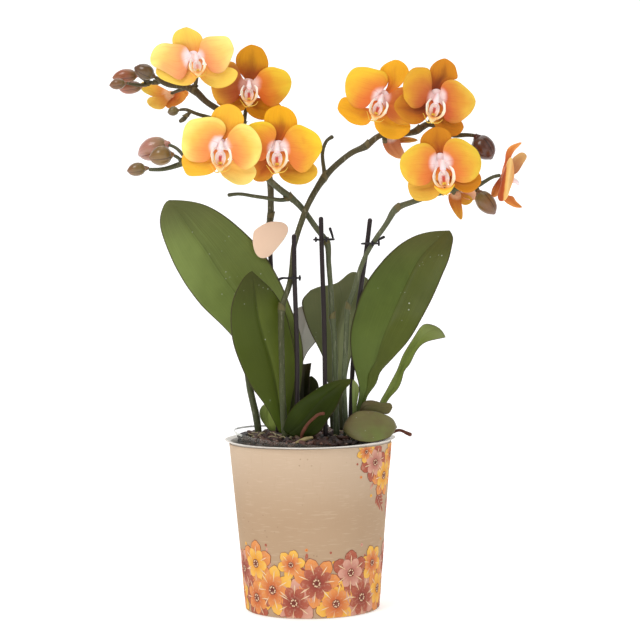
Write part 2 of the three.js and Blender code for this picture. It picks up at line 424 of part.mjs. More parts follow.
    LL: [[[426, 103], [415, 98], [407, 95], [402, 95], [398, 98.3], [395, 102]], [394.3, 107.5], [[427, 117], [421, 122.5], [414, 124.3], [408, 123.3], [402, 119.2], [397.5, 114]]],
    LR: [[[443, 113], [452, 115], [461, 120]], [464, 126.5], [[433, 120], [437, 128], [444, 133.3], [451, 135.7], [457, 135], [461.7, 131.7]]] },
  { c: [441, 163], y: -28, face: [0.1, -0.12], lip: [443.5, 175], k: 1.0, turn: -5, w: 10,
    D: [[[438, 158], [434, 150], [428, 145.5], [420.5, 144.3], [421, 138], [425, 132.8], [430, 129.3]], [436.5, 127.5], [[444, 158], [443.5, 150], [446.5, 142.5], [451, 138.5], [450, 133.5], [446.5, 130], [441.5, 128]]],
    L: [[[437, 161], [436, 153.5], [433, 148], [428, 144.3], [420, 143.6], [412, 146.8], [406.5, 151], [401.8, 156]], [399.8, 163.5], [[433, 173], [431, 180], [426, 184.3], [419, 185.7], [412, 184.7], [407.3, 181.3], [402.8, 176], [400.3, 170]]],
    R: [[[443, 160], [443, 152], [445, 144.5], [450, 139.3], [457, 138.3], [464, 140.3], [470.5, 144.3], [477, 149.8], [480.3, 156]], [481.5, 163], [[451, 172], [453, 178.3], [459, 181.7], [465, 182.5], [472, 180.5], [477.3, 176], [480.5, 170]]],
    LL: [[[433, 177], [424, 180], [414, 180], [408.6, 182]], [408.8, 190], [[442, 190], [437, 196.7], [430, 200.2], [422, 201], [415, 199.7], [410.8, 195.3]]],
    LR: [[[452, 175], [463, 176], [473, 174], [479.3, 173]], [481.6, 178.5], [[452, 184], [456.5, 188], [461, 190.8], [467, 192.4], [473, 191.2], [478, 187.3], [481.3, 183]]] },
];

// flowers seen from the side or half hidden: a hub [u, v, y, radius], then petals as
// [margins and tip, depth at the hub, depth at the tip, bow, rim]
const TURNED = {
  flower_8_side: [[504.5, 176, -7, 2.6],
    [[[502, 172], [505, 161], [506, 153], [509, 147.3], [514, 144.3]], [521.5, 142.8], [[508.5, 168], [511, 157], [515, 150], [518.7, 146.3]], -6, -5, 1.2, 0.3],
    [[[506, 166], [511, 157.3], [513.3, 165]], [514, 176], [[501, 187], [498, 195], [499.5, 200.7], [504.5, 200.3], [509, 192]], -8, -30, 0.5, 1.4],
    [[[507, 170], [512, 159.5], [517.5, 154.3], [523, 152.6]], [526.5, 156], [[510, 175], [515, 174], [520.5, 168], [524.7, 161]], -6, 17, 0.6, -1.2],
    [[[499.5, 178], [495, 184], [492, 190]], [492.5, 197], [[502, 184], [500, 191], [497, 196]], -6.5, -1, 0.6, 0.4],
    [[[505, 190], [508.5, 195.5], [512.5, 196.3], [516, 201]], [521.8, 207.3], [[502, 192], [505, 201.5], [510, 205], [515.5, 207.3]], -6.5, 8, 0.8, 0.3]],
  flower_9_hidden: [[390, 137, 7, 2.6],
    [[[383, 139], [383.7, 146], [388, 153], [394, 157]], [400.5, 158.3], [[399, 139], [401.3, 146], [404, 153]], 7, 10, 1.0, -0.8],
    [[[395, 136.7], [404, 137], [411.5, 137.7]], [417.6, 140.2], [[395, 142.3], [404, 142.8], [411.5, 142.3]], 8, 12, 0.6, 0.3],
    [[[384, 134], [383, 126], [387, 119.5]], [393, 118], [[396, 133], [400, 127], [398.5, 121]], 7.5, 14, 1.2, -0.8]],
  flower_10_hidden: [[457, 192, -2, 2.6],
    [[[449.5, 194], [449.2, 202], [453, 210.3], [457.5, 216.7]], [461, 219.5], [[460, 193], [461.3, 202], [462.5, 212]], -2, -2, 1.0, -0.8],
    [[[459, 198], [461, 203], [465, 205]], [472.5, 199.8], [[462, 193], [468.5, 195.3]], -1, 3, 0.8, 0.3],
    [[[461, 189], [468, 189], [474.5, 190.3]], [478.3, 195], [[462, 197], [469, 199.7], [475.5, 199.3]], 0, 5, 1.0, -0.6],
    [[[452, 189], [449, 182]], [455, 175], [[460, 189], [462, 181]], -1.5, 7, 1.0, -0.8]],
  flower_11_hidden: [[171, 94.5, 8.5, 2.6],
    [[[163, 88], [153, 83], [145, 81.4]], [140, 84.3], [[164, 95.5], [157, 97.3], [150, 95.3], [143.3, 91.5]], 8, 8, 1.0, -0.8],
    [[[163, 95], [156, 96.8], [149.3, 97.7], [147, 101.7]], [149.5, 105.5], [[168, 102], [163, 108.5], [156, 109]], 8, 6, 1.0, -0.8],
    [[[167, 95], [164, 101]], [168, 107.9], [[180, 92], [186.5, 94.5], [184, 100.5], [176, 105.8]], 9, 8, 1.0, -0.6],
    [[[176, 93], [180, 89.5]], [188.5, 93], [[178, 97], [184.5, 98]], 10, 12, 0.8, -0.3]],
};
function turned([hub, ...petals]) {
  return join([ball(at(hub[0], hub[1], hub[2]), hub[3], hub[3], hub[3]),
    ...petals.map(([L, T, R, y0, y1, bow, rim]) => tepal(hub, [L, T, R], y0, y1, bow, rim, [0, 0], [0.05, 0.32, 0.62, 0.88]))]);
}

// ---------------------------------------------------------------- leaves
const LEAVES = {
  leaf_left_large: () => leaf([
    [284, 430, 288, 432, 292, 430, -5, -4, -5], [279, 401, 288, 402, 299, 399, -5, -3, -6], [262, 372, 281, 372, 303, 360, -4, -1, -6],
    [240, 345, 268, 344, 300, 332, -3, 1, -4], [222, 325, 252, 319, 291, 308, -2, 3, -2], [203, 307, 237, 295, 281, 284, -7, 2, 1],
    [188, 288, 222, 275, 266, 257, -12, -2, 3], [175, 266, 207, 252, 247, 235, -18, -7, 1], [164, 240, 191, 230, 226, 217, -24, -14, -6],
    [160, 221, 180, 214, 206, 205.5, -29, -21, -14], [163, 207, 173, 206, 188, 201, -32, -28, -22]], [169, 200, -31]),
  leaf_front_left: () => leaf([
    [279, 432, 282, 433, 286, 432, -13, -12, -12], [265, 405, 279, 406, 291, 404, -16, -12, -11], [253, 389, 276, 385, 295, 380, -17, -12, -10],
    [243, 370, 271, 362, 295, 355, -18, -12, -10], [235, 349, 265, 342, 291, 333, -19, -13, -10], [231, 326, 259, 320, 285, 312, -22, -16, -12.5],
    [232, 305, 256, 301, 275, 294, -26, -20, -16], [239, 286, 254, 286, 265, 283, -29, -25, -22]], [252, 271, -29]),
  leaf_back_left: () => leaf([
    [291, 427, 294, 428, 297, 427, 21, 21, 21], [290, 397, 294, 398, 298, 394, 22, 22, 22], [289, 370, 297, 370, 304, 359, 25, 27, 25], [288, 345, 300, 345, 315, 342, 30, 33, 29],
    [291, 322, 304, 326, 318, 326, 36, 39, 35]], [303, 306, 42]),
  leaf_back_broad: () => leaf([
    [330.5, 428, 337, 429, 345, 428, 14, 14, 14], [330, 403, 337.5, 404, 346, 403, 14, 14, 14], [330, 388, 338, 389, 346.5, 388, 14, 14, 14], [326.5, 378.5, 336, 379, 346.5, 378, 14, 15, 14], [324, 360, 337, 361, 350, 360, 14, 17, 14], [316, 342, 336, 343, 357, 340, 16, 21, 17],
    [307, 323, 339, 323, 364, 318, 19, 25, 20], [302, 306, 342, 306, 371, 299, 21, 28, 23], [304.5, 296.5, 21, 321, 296, 26, 341, 291, 28, 356, 285, 25, 371.5, 287, 24],
    [310.5, 290.2, 22, 322, 286.3, 26, 338, 282.5, 29, 352, 272.2, 26, 367.5, 278.5, 25]], null),
  leaf_right_large: () => leaf([
    [357, 433, 361, 434, 364, 433, -4, -4, -4], [355.5, 413, 360, 414, 365, 412, -5, -4, -4], [358.5, 398, 362.5, 399, 367.5, 396, -6, -4, -4], [359, 385, 367, 386, 376, 383, -6, -3, -4],
    [356.5, 375, 368, 376, 379, 374, -6, -2.5, -4], [353, 363, 374, 364, 389, 362, -6, -2, -4], [350.5, 346, 380, 346, 406, 344, -7, -2, -4], [351, 328, 388, 325, 420, 322, -7, -2, -5],
    [357, 306, 397, 304, 431, 301, -7, 1, -3], [367, 283, 407, 282, 440, 280, -5.5, 5, 1], [381, 263, 418, 261, 448, 262, -1, 9, 5],
    [398, 246, 431, 246, 452, 246, 4, 13, 9], [420, 234, 443, 235, 453, 237.5, 10, 15, 12]], [449.5, 230.5, 16]),
  leaf_right_curled: () => leaf([
    [371, 427, 374, 428, 378, 427, 5, 5, 4], [377, 411, 380, 412, 384, 410, 5, 5, 4], [380.5, 401, 383.5, 402, 388, 400, 4, 5, 3], [385, 393, 389.5, 394, 395, 392, 3, 5, 2], [389.5, 384.5, 395, 385, 400, 385, 2, 4.5, 1],
    [393.5, 377, 398, 377.5, 402.5, 377.5, 1, 3.5, 0], [397.5, 369, 401, 370, 404.5, 371, -1, 2, -2], [401, 359.5, 405, 362.5, 409.5, 364.5, -3, 0, -5], [406, 349.5, 410, 353, 415, 353.5, -5, -2, -8],
    [411.5, 341, 416, 344.5, 421.5, 345, -7, -4, -10], [417.5, 331.5, 423, 336.5, 429, 341, -9, -6.5, -12], [424, 324.5, 430, 331, 436.5, 339.2, -11, -9, -14], [432, 324.8, 436.5, 330.5, 441.5, 338.2, -13, -11.5, -15]], [445.5, 337.4, -15], 1.5),
  leaf_front_centre: () => leaf([
    [283, 429, 289, 434, 298, 438, -28, -30, -31], [287, 417, 299, 425, 315, 435, -28, -31, -33], [296, 404, 310, 412, 327, 421, -28, -31, -33],
    [308, 395, 320, 401, 336, 408, -28, -31, -33], [322, 386, 331, 391, 342, 394, -27, -30, -32], [337, 380.5, 342, 384, 348, 386, -27, -29, -30]],
    [351, 379, -28]),
  leaf_rim_round: () => leaf([
    [344, 426.5, 343.5, 429, 344.5, 431.8, -23, -24, -24.5], [347, 419.8, 346.5, 427, 348, 435.5, -23, -27, -30], [353, 413.8, 352.5, 427, 355, 439.5, -22, -29, -34], [361, 411, 361.5, 427, 363, 441.6, -21, -30, -36],
    [371, 411, 371.5, 427, 372, 442, -20, -29, -36], [380, 412.7, 380.5, 427.5, 380, 440.3, -18.5, -27, -34.5], [388, 416, 388, 427, 388, 438, -17.5, -25, -32.5], [393.5, 420, 394, 427.5, 393, 433.3, -17, -22, -26]], [397, 427, -20], 2.0),
  leaf_tucked_right: () => leaf([
    [359, 427, 361, 430, 364, 431, -10.5, -11.5, -12], [364, 402, 365, 407, 367, 412, -11, -12, -13], [373, 400.5, 374, 406.5, 375, 412, -10, -12, -13], [381, 402.5, 382, 408, 383, 413.5, -9, -11, -12.5], [389, 403, 389, 408, 388.5, 413.5, -9, -10, -11.5]],
    [392.5, 407.5, -9]),
  leaf_small_left: () => leaf([
    [269, 430, 272, 431.5, 276, 430, 14, 14, 14], [261.5, 420, 268, 421, 279, 419, 14, 15, 14], [260, 410, 268, 410, 279, 409, 14, 15, 14]],
    [269, 402, 14]),
  leaf_small_centre: () => leaf([
    [303, 430, 307, 431, 311, 430, 9, 9, 9], [301.5, 406, 309, 407, 317, 405, 9, 10, 9], [301.5, 391, 310, 391, 318.6, 389, 9, 11, 9], [304, 381.5, 311, 381, 316.8, 381.3, 9, 11, 9]],
    [311.5, 376, 9]),
  leaf_cut_stub: () => leaf([
    [300, 430, 303, 431, 307, 430, 3, 3, 3], [299.5, 400, 304, 400, 309, 399, 2, 4, 2], [300, 381, 304.5, 381, 309.3, 379, 2, 4, 2], [300.5, 364.2, 306, 364, 311.5, 362.8, 2, 4, 2]],
    null),
  leaf_sheath_right: () => leaf([
    [353, 433, 354.5, 434, 356, 433, -10.5, -10.5, -10], [352.5, 410, 354, 411, 356, 410, -11, -11, -10], [352, 397, 354.5, 398, 358, 397, -11.5, -11, -10.5], [352, 387, 355, 388, 359, 389, -11.5, -11, -10.5]],
    [353, 379, -12], 1.2),
};

// ---------------------------------------------------------------- stakes, clips, label and roots
const stake = (rows) => stem(rows.map((r) => [...r, STAKE_R]), 8);
const STAKES = {
  stake_left: () => stake([[294, 236, -21.3], [294.5, 275, -21], [296, 318, -18.5], [297, 358, -16.5], [296.5, 435, -14.5]]),
  stake_centre: () => stake([[321, 218.5, -17.5], [322, 259, -17.5], [324, 318, -17.5], [325, 384, -17.5], [325.5, 436, -17.5]]),
  stake_right: () => stake([[370, 220, -9.6], [366.5, 249, -9.2], [361, 287, -5], [356, 325, 1], [353, 362, 2.5], [350, 432, 2.5]]),
  stake_label: () => stake([[270, 238, 1.9], [270.2, 250, 3.6], [270.8, 264, 8], [272, 292, 9.5], [274.5, 340, 8.5], [277, 390, 7], [278, 431, 6]]),
};
// soft clips that hold a spike to its stake: an open loop round both
function clip(centre, axisDeg, a, b, arm) {
  const c = at(...centre), pts = [];
  const w = rad(axisDeg), ux = new THREE.Vector3(Math.cos(w), Math.sin(w), 0), uy = new THREE.Vector3(-Math.sin(w), Math.cos(w), 0);
  for (let k = 0; k <= 14; k++) {
    const q = rad(-160 + (320 * k) / 14);
    pts.push([c.clone().addScaledVector(ux, a * Math.cos(q)).addScaledVector(uy, b * Math.sin(q)), 0.65]);
  }
  const loop = tube(pts, 6);
  const from = pts[arm[0]][0];
  const tail = tube([[from, 0.6], [from.clone().lerp(at(arm[1], arm[2], arm[3]), 0.5), 0.75], [at(arm[1], arm[2], arm[3]), 0.9]], 6);
  return join([loop, tail]);
}
const CLIPS = {
  clip_left: () => clip([292.8, 278, -19], 118, 5.6, 4.2, [10, 279, 279.5, -17]),
  clip_centre: () => clip([324, 239.5, -14.6], 72, 6.8, 6.0, [3, 330, 228.5, -17]),
  clip_right: () => clip([370.3, 243.5, -11.4], 129, 6.0, 4.6, [4, 384, 237, -7.2]),
};
// blank label card, a rounded pebble shape
function tagGeometry() {
  const out = [[253, 237], [254, 231.5], [257.5, 228], [263, 224.5], [269.5, 222], [277, 221.6], [284, 223], [287.6, 226.5], [288, 231],
    [285.5, 237], [281, 243.5], [276, 249.5], [271.5, 254.5], [267, 257.4], [261, 258], [256.5, 254.6], [253.8, 248.5], [252.7, 242.5]];
  const y = -1.2;
  const front = out.map(([u, v]) => at(u, v, y - TAG_T / 2)), back = front.map((p) => p.clone().add(new THREE.Vector3(0, TAG_T, 0)));
  return loft([front, back]);
}
const ROOTS = {
  root_red_arc: () => stem([[301.5, 439, -35, 0.85], [302, 434, -36, 0.9], [304.5, 429, -36.5, 0.95], [309, 422.5, -37, 0.95], [314, 418, -37.5, 0.9], [318.5, 414.5, -37.5, 0.9], [323.5, 413.5, -37, 1.0]], 6),
  root_red_right: () => stem([[393.5, 432, 2, 1.0], [397, 430.5, 1, 1.0], [401, 430.5, 0, 0.95], [405.5, 432.5, -2, 1.0], [410.3, 434.6, -4, 1.15]], 6),
  root_tan: () => stem([[292.5, 444.3, -42, 0.6], [297, 442.3, -42, 1.0], [302, 440.2, -41.5, 1.2], [307, 438.7, -41, 1.25], [312, 437.6, -40, 0.9]], 6),
};

// ---------------------------------------------------------------- buds
const BUDS = {
  bud_tip_upper: () => bud(137.5, 75, -3, 112.3, 77.5, -3, 4.3),
  bud_tip_lower: () => bud(141.8, 86, 3, 119.5, 89.5, 7, 3.9),
  bud_tip_small: () => bud(125.5, 83, -14, 109.3, 85.3, -14, 3.3),
  bud_round_brown: () => bud(154, 76.5, -12.5, 134.5, 67, -14, 4.9),
  bud_tiny: () => bud(178.7, 110.2, -8, 167.4, 112.3, -8, 2.9),
  bud_pink: () => bud(168, 143.8, -10, 138, 154.5, -5, 7.0),
  bud_olive: () => bud(172.3, 154.5, -23.5, 149, 157.5, -25, 5.9),
  bud_low_left: () => bud(146, 168.3, -15, 127, 170.7, -15, 4.1),
  bud_maroon: () => bud(476.2, 136.3, -4.5, 491.5, 159.5, -3, 6.9),
  bud_drooping: () => bud(478.3, 191.5, -9, 494.5, 214.5, -8, 5.6),
};

// ---------------------------------------------------------------- assembly
const plant = new THREE.Group();
const looks = {
  kraft: [0xc9aa84, 0.9, 0], white: [0xe9e6e0, 0.5, 0], clear: [0xd6dcd2, 0.25, 0], bark: [0x4a2d22, 0.95, 0],
  stem: [0x5d6b47, 0.6, 0], stake: [0x2b1c22, 0.5, 0], clip: [0x1d191b, 0.45, 0], label: [0xe8bd98, 0.6, 0], leaf: [0x4a6128, 0.5, 0],
  leafPale: [0x9aa19a, 0.6, 0], root: [0x8c4334, 0.7, 0], rootTan: [0xa89a6c, 0.7, 0], petal: [0xf3a53a, 0.55, 0], lip: [0xf6e0d2, 0.5, 0],
  budRed: [0x9a5a4c, 0.4, 0], budOlive: [0x7d6a45, 0.4, 0], budDark: [0x4a2018, 0.4, 0],
};
function add(name, look, geometry) {
  const [color, roughness, metalness] = looks[look];
  const mesh = new THREE.Mesh(geometry, new THREE.MeshStandardMaterial({ color, roughness, metalness }));
  mesh.name = name;
  plant.add(mesh);
}

add('card_cover', 'kraft', sleeveGeometry());
add('pot_liner', 'white', linerGeometry());
add('grow_pot', 'clear', growGeometry());
add('bark_mix', 'bark', barkGeometry());
add('spike_a', 'stem', spikeA());
add('spike_b', 'stem', spikeB());
add('spike_c', 'stem', spikeC());
add('spike_d', 'stem', spikeD());
for (const [name, make] of Object.entries(LEAVES)) add(name, name === 'leaf_back_left' ? 'leafPale' : 'leaf', make());
for (const [name, make] of Object.entries(STAKES)) add(name, 'stake', make());
for (const [name, make] of Object.entries(CLIPS)) add(name, 'clip', make());
add('label_blank', 'label', tagGeometry());
for (const [name, make] of Object.entries(ROOTS)) add(name, name === 'root_tan' ? 'rootTan' : 'root', make());
FLOWERS.forEach((f, i) => {
  add(`flower_${i + 1}_tepals`, 'petal', flower(f));
  add(`flower_${i + 1}_lip`, 'lip', lip(f));
});
for (const [name, spec] of Object.entries(TURNED)) add(name, 'petal', turned(spec));
for (const [name, make] of Object.entries(BUDS)) {
  add(name, /maroon/.test(name) ? 'budDark' : /olive|small|brown|tiny|drooping/.test(name) ? 'budOlive' : 'budRed', make());
}

export default plant;
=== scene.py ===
# Moth orchid with four flower spikes in a kraft card pot cover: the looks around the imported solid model.
# Lengths are written in millimetres and turned into metres when a mesh is made.
import bpy
import math
import random
import numpy as np
from mathutils import Vector, Matrix, noise


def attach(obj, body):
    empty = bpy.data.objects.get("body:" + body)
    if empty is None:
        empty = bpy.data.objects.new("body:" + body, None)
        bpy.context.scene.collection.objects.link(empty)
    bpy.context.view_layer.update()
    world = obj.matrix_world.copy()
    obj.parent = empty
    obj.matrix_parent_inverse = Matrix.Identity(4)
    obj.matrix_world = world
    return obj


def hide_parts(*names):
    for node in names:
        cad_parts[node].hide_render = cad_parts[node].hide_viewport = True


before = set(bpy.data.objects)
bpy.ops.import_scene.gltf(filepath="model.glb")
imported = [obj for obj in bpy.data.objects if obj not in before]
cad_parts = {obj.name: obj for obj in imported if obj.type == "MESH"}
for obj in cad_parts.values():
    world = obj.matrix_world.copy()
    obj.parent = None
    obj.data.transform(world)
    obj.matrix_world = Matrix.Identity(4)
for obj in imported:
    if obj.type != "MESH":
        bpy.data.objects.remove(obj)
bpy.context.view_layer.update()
RNG = np.random.default_rng(41)
random.seed(41)
MM = 0.001

# ------------------------------------------------------------------ the eye that the front sheet is drawn from
EYE = dict(back=1100.0, up=205.0, side=7.0, reach=1793.0, tilt=1.5, roll=0.8)
_ti, _ro = math.radians(EYE["tilt"]), math.radians(EYE["roll"])
FWD = np.array([0, math.cos(_ti), -math.sin(_ti)])
UPV = np.array([0, math.sin(_ti), math.cos(_ti)])
RGT = np.array([1.0, 0, 0])
ACR = RGT * math.cos(_ro) - UPV * math.sin(_ro)
ALO = RGT * math.sin(_ro) + UPV * math.cos(_ro)
EYE_AT = np.array([EYE["side"], -EYE["back"], EYE["up"]])


def at(u, v, y):
    """Point at depth y seen at place (u, v) of the front sheet."""
    d = FWD * EYE["reach"] + ACR * (u - 320.0) + ALO * (321.0 - v)
    return EYE_AT + d * ((y + EYE["back"]) / d[1])


# ------------------------------------------------------------------ numbers
def unit(a):
    a = np.asarray(a, float)
    return a / np.maximum(np.linalg.norm(a, axis=-1, keepdims=True), 1e-9)


def spline(p, n, t=None, x=None):
    """Natural cubic through the points p, at n even steps of chord length."""
    p = np.asarray(p, float)
    k = len(p)
    if t is None:
        d = np.linalg.norm(np.diff(p, axis=0), axis=1)
        t = np.r_[0, np.cumsum(np.maximum(d, 1e-6))]
    if x is None:
        x = np.linspace(t[0], t[-1], n)
    if k == 2:
        f = ((x - t[0]) / (t[1] - t[0]))[:, None]
        return p[0] * (1 - f) + p[1] * f
    h = np.diff(t)
    A = np.zeros((k, k))
    b = np.zeros_like(p)
    A[0, 0] = A[-1, -1] = 1
    for i in range(1, k - 1):
        A[i, i - 1], A[i, i], A[i, i + 1] = h[i - 1], 2 * (h[i - 1] + h[i]), h[i]
        b[i] = 3 * ((p[i + 1] - p[i]) / h[i] - (p[i] - p[i - 1]) / h[i - 1])
    c = np.linalg.solve(A, b)
    j = np.clip(np.searchsorted(t, x, side="right") - 1, 0, k - 2)
    dx, hj = (x - t[j])[:, None], h[j][:, None]
    lin = (p[j + 1] - p[j]) / hj - hj * (2 * c[j] + c[j + 1]) / 3
    return p[j] + lin * dx + c[j] * dx**2 + (c[j + 1] - c[j]) / (3 * hj) * dx**3


def bumps(P, scale, seed=0.0):
    """Smooth noise from -1 to 1 at each point of P (millimetres), with features of about `scale` millimetres."""
    flat = P.reshape(-1, 3) / scale + seed
    out = np.array([noise.noise(Vector(q)) for q in flat])
    return out.reshape(P.shape[:-1])


# ------------------------------------------------------------------ meshes
class Shape:
    """Vertices, faces, two numbers a vertex for the material, and a material index a face."""

    def __init__(self):
        self.v, self.f, self.uv, self.m, self.n = [], [], [], [], 0

    def add(self, v, f, uv=None, m=0):
        v = np.asarray(v, float).reshape(-1, 3)
        self.v.append(v)
        self.uv.append(np.zeros((len(v), 2)) if uv is None else np.asarray(uv, float).reshape(-1, 2))
        self.f += [tuple(int(i) + self.n for i in q) for q in f]
        self.m += list(m) if hasattr(m, "__len__") else [m] * len(f)
        self.n += len(v)
        return self

    def build(self, name, mats, smooth=True, node=None, nodes=None, angle=None):
        v = np.vstack(self.v) * MM
        me = bpy.data.meshes.new(name)
        me.from_pydata(v.tolist(), [], self.f)
        uv = np.vstack(self.uv)
        layer = me.uv_layers.new(name="UVMap")
        idx = np.zeros(len(me.loops), np.int32)
        me.loops.foreach_get("vertex_index", idx)
        layer.data.foreach_set("uv", uv[idx].astype(np.float32).ravel())
        for mt in mats:
            me.materials.append(mt)
        me.polygons.foreach_set("material_index", np.array(self.m, np.int32))
        me.polygons.foreach_set("use_smooth", np.full(len(me.polygons), smooth))
        me.update()
        ob = bpy.data.objects.new(name, me)
        bpy.context.scene.collection.objects.link(ob)
        if angle is not None:
            me.set_sharp_from_angle(angle=math.radians(angle))
        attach(ob, "root")
        if nodes or node:
            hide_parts(*(nodes or [node]))
        return ob


def grid_faces(n, m, off=0, wrap=False, flip=False):
    out = []
    for i in range(n - 1):
        for j in range(m if wrap else m - 1):
            j2 = (j + 1) % m
            a, b, c, d = off + i * m + j, off + (i + 1) * m + j, off + (i + 1) * m + j2, off + i * m + j2
            out.append((a, d, c, b) if flip else (a, b, c, d))
    return out


def slab(shape, P, T, uv, m_front=0, m_back=1, m_rim=0, round_rim=True):
    """Closed thick sheet on the middle surface P (n, m, 3), T its thickness, uv its (n, m, 2) numbers."""
    n, m, _ = P.shape
    N = np.cross(np.gradient(P, axis=0), np.gradient(P, axis=1))
    ln = np.linalg.norm(N, axis=2)
    weak = ln < 1e-3 * np.median(ln)
    N = unit(N)
    for i in range(n):
        if weak[i].any():
            src = i - 1 if i > n // 2 else i + 1
            N[i][weak[i]] = N[src][weak[i]] if i > n // 2 else N[i + 1][weak[i]]
    T = np.asarray(T)[..., None]
    A, B = P + N * T / 2, P - N * T / 2
    f = grid_faces(n, m) + grid_faces(n, m, off=n * m, flip=True)
    mi = [m_front] * ((n - 1) * (m - 1)) + [m_back] * ((n - 1) * (m - 1))
    rim = [(i, 0) for i in range(n)] + [(n - 1, j) for j in range(1, m)] + [(i, m - 1) for i in range(n - 2, -1, -1)] + [(0, j) for j in range(m - 2, 0, -1)]
    ids = np.array([i * m + j for i, j in rim])
    k = len(ids)
    if round_rim:
        cen = P.reshape(-1, 3)[ids]
        # outward in the sheet: away from the neighbour one step inside
        inner = np.array([P[min(max(i, 1), n - 2), min(max(j, 1), m - 2)] for i, j in rim])
        out = cen + unit(cen - inner) * (T.reshape(-1, 1)[ids] * 0.35)
        V = np.vstack([A.reshape(-1, 3), B.reshape(-1, 3), out])
        UV = np.vstack([uv.reshape(-1, 2), uv.reshape(-1, 2), uv.reshape(-1, 2)[ids]])
        for q in range(k):
            r = (q + 1) % k
            f.append((ids[q], 2 * n * m + q, 2 * n * m + r, ids[r]))
            f.append((2 * n * m + q, n * m + ids[q], n * m + ids[r], 2 * n * m + r))
            mi += [m_rim, m_rim]
    else:
        V = np.vstack([A.reshape(-1, 3), B.reshape(-1, 3)])
        UV = np.vstack([uv.reshape(-1, 2), uv.reshape(-1, 2)])
        for q in range(k):
            r = (q + 1) % k
            f.append((ids[q], n * m + ids[q], n * m + ids[r], ids[r]))
            mi.append(m_rim)
    f = [tuple(int(x) for x in q) for q in f]
    shape.add(V, f, UV, mi)


def frames(path):
    """Side and other directions carried along a path without twist."""
    T = unit(np.gradient(path, axis=0))
    side = np.cross([0, 1, 0], T[0])
    if np.linalg.norm(side) < 0.2:
        side = np.cross([1, 0, 0], T[0])
    S = []
    s = side
    for t in T:
        s = unit(s - t * np.dot(s, t))
        S.append(s)
    S = np.array(S)
    return T, S, np.cross(T, S)


def tube(shape, path, rad, sides=18, m=0, wobble=0.0, flat=1.0, ends=(True, True), v0=0.0):
    """Round tube; the ends are rounded off."""
    path = np.asarray(path, float)
    rad = np.asarray(rad, float)
    T, S, O = frames(path)
    if ends[1]:
        base, r = path[-1], rad[-1]
        path = np.vstack([path, [base + T[-1] * r * q * 0.8 for q in (0.5, 0.85, 0.99)]])
        rad = np.r_[rad, [r * math.sqrt(1 - q * q) for q in (0.5, 0.85, 0.99)]]
        T, S, O = np.vstack([T, [T[-1]] * 3]), np.vstack([S, [S[-1]] * 3]), np.vstack([O, [O[-1]] * 3])
    if ends[0]:
        base, r = path[0].copy(), rad[0]
        path = np.vstack([[base - T[0] * r * q * 0.8 for q in (0.99, 0.85, 0.5)], path])
        rad = np.r_[[r * math.sqrt(1 - q * q) for q in (0.99, 0.85, 0.5)], rad]
        T, S, O = np.vstack([[T[0]] * 3, T]), np.vstack([[S[0]] * 3, S]), np.vstack([[O[0]] * 3, O])
    n = len(path)
    w = 2 * np.pi * np.arange(sides) / sides
    ring = S[:, None] * np.cos(w)[None, :, None] + O[:, None] * np.sin(w)[None, :, None] * flat
    rr = np.repeat(rad[:, None], sides, 1)
    if wobble:
        rr = rr * (1 + wobble * bumps(path[:, None] + ring * rad[:, None, None], 5.0, 3.1))
    V = path[:, None] + ring * rr[..., None]
    d = np.r_[0, np.cumsum(np.linalg.norm(np.diff(path, axis=0), axis=1))] + v0
    uv = np.stack([np.repeat((w / (2 * np.pi))[None], n, 0), np.repeat(d[:, None], sides, 1)], 2)
    f = grid_faces(n, sides, wrap=True, flip=True)
    V = np.vstack([V.reshape(-1, 3), path[:1], path[-1:]])
    uv = np.vstack([uv.reshape(-1, 2), [[0, d[0]], [0, d[-1]]]])
    c0, c1 = n * sides, n * sides + 1
    for j in range(sides):
        f.append((c0, (j + 1) % sides, j))
        f.append((c1, (n - 1) * sides + j, (n - 1) * sides + (j + 1) % sides))
    shape.add(V, f, uv, m)


def rows_path(rows, step=1.0):
    """[u, v, y, r] rows to a smooth path and radius."""
    P = np.array([at(*r[:3]) for r in rows])
    d = np.r_[0, np.cumsum(np.maximum(np.linalg.norm(np.diff(P, axis=0), axis=1), 1e-6))]
    n = max(6, int(d[-1] / step))
    x = np.linspace(0, d[-1], n)
    path = spline(P, n, t=d, x=x)
    r = np.interp(x, d, [q[3] for q in rows])
    k = np.array([0.25, 0.5, 0.25])
    for _ in range(2):
        r = np.r_[r[0], np.convolve(r, k, "valid"), r[-1]]
    return path, r


def blob(shape, c, rad, seed, rough=0.25, m=0, rot=None, k=5, scale=4.0):
    """Lump: a cube ball with noise."""
    g = np.linspace(-1, 1, k)
    V, F = [], []
    for ax in range(3):
        for sg in (-1, 1):
            o = len(V)
            for a in g:
                for b in g:
                    p = [0, 0, 0]
                    p[ax], p[(ax + 1) % 3], p[(ax + 2) % 3] = sg, a * sg, b
                    V.append(p)
            for i in range(k - 1):
                for j in range(k - 1):
                    q = o + i * k + j
                    F.append((q, q + k, q + k + 1, q + 1))
    V = np.array(V, float)
    key = {}
    remap = []
    keep = []
    for i, p in enumerate(np.round(V, 5)):
        t = tuple(p)
        if t not in key:
            key[t] = len(keep)
            keep.append(i)
        remap.append(key[t])
    V = V[keep]
    F = [tuple(remap[i] for i in q) for q in F]
    ball = unit(V)
    box = V / np.max(np.abs(V), axis=1, keepdims=True)
    P = (0.55 * ball + 0.45 * box * 0.8) * np.asarray(rad)
    P = P * (1 + rough * bumps(P, scale, seed))[:, None]
    if rot is not None:
        P = P @ np.array(rot).T
    shape.add(P + c, F, np.c_[np.full(len(P), seed % 1.0), np.full(len(P), (seed * 7.3) % 1.0)], m)


# ------------------------------------------------------------------ materials
def lin(r, g, b):
    """From 0-255 display values to the linear numbers a shader takes."""
    return tuple(((x / 255) / 12.92 if x / 255 <= 0.04045 else ((x / 255 + 0.055) / 1.055) ** 2.4) for x in (r, g, b)) + (1.0,)


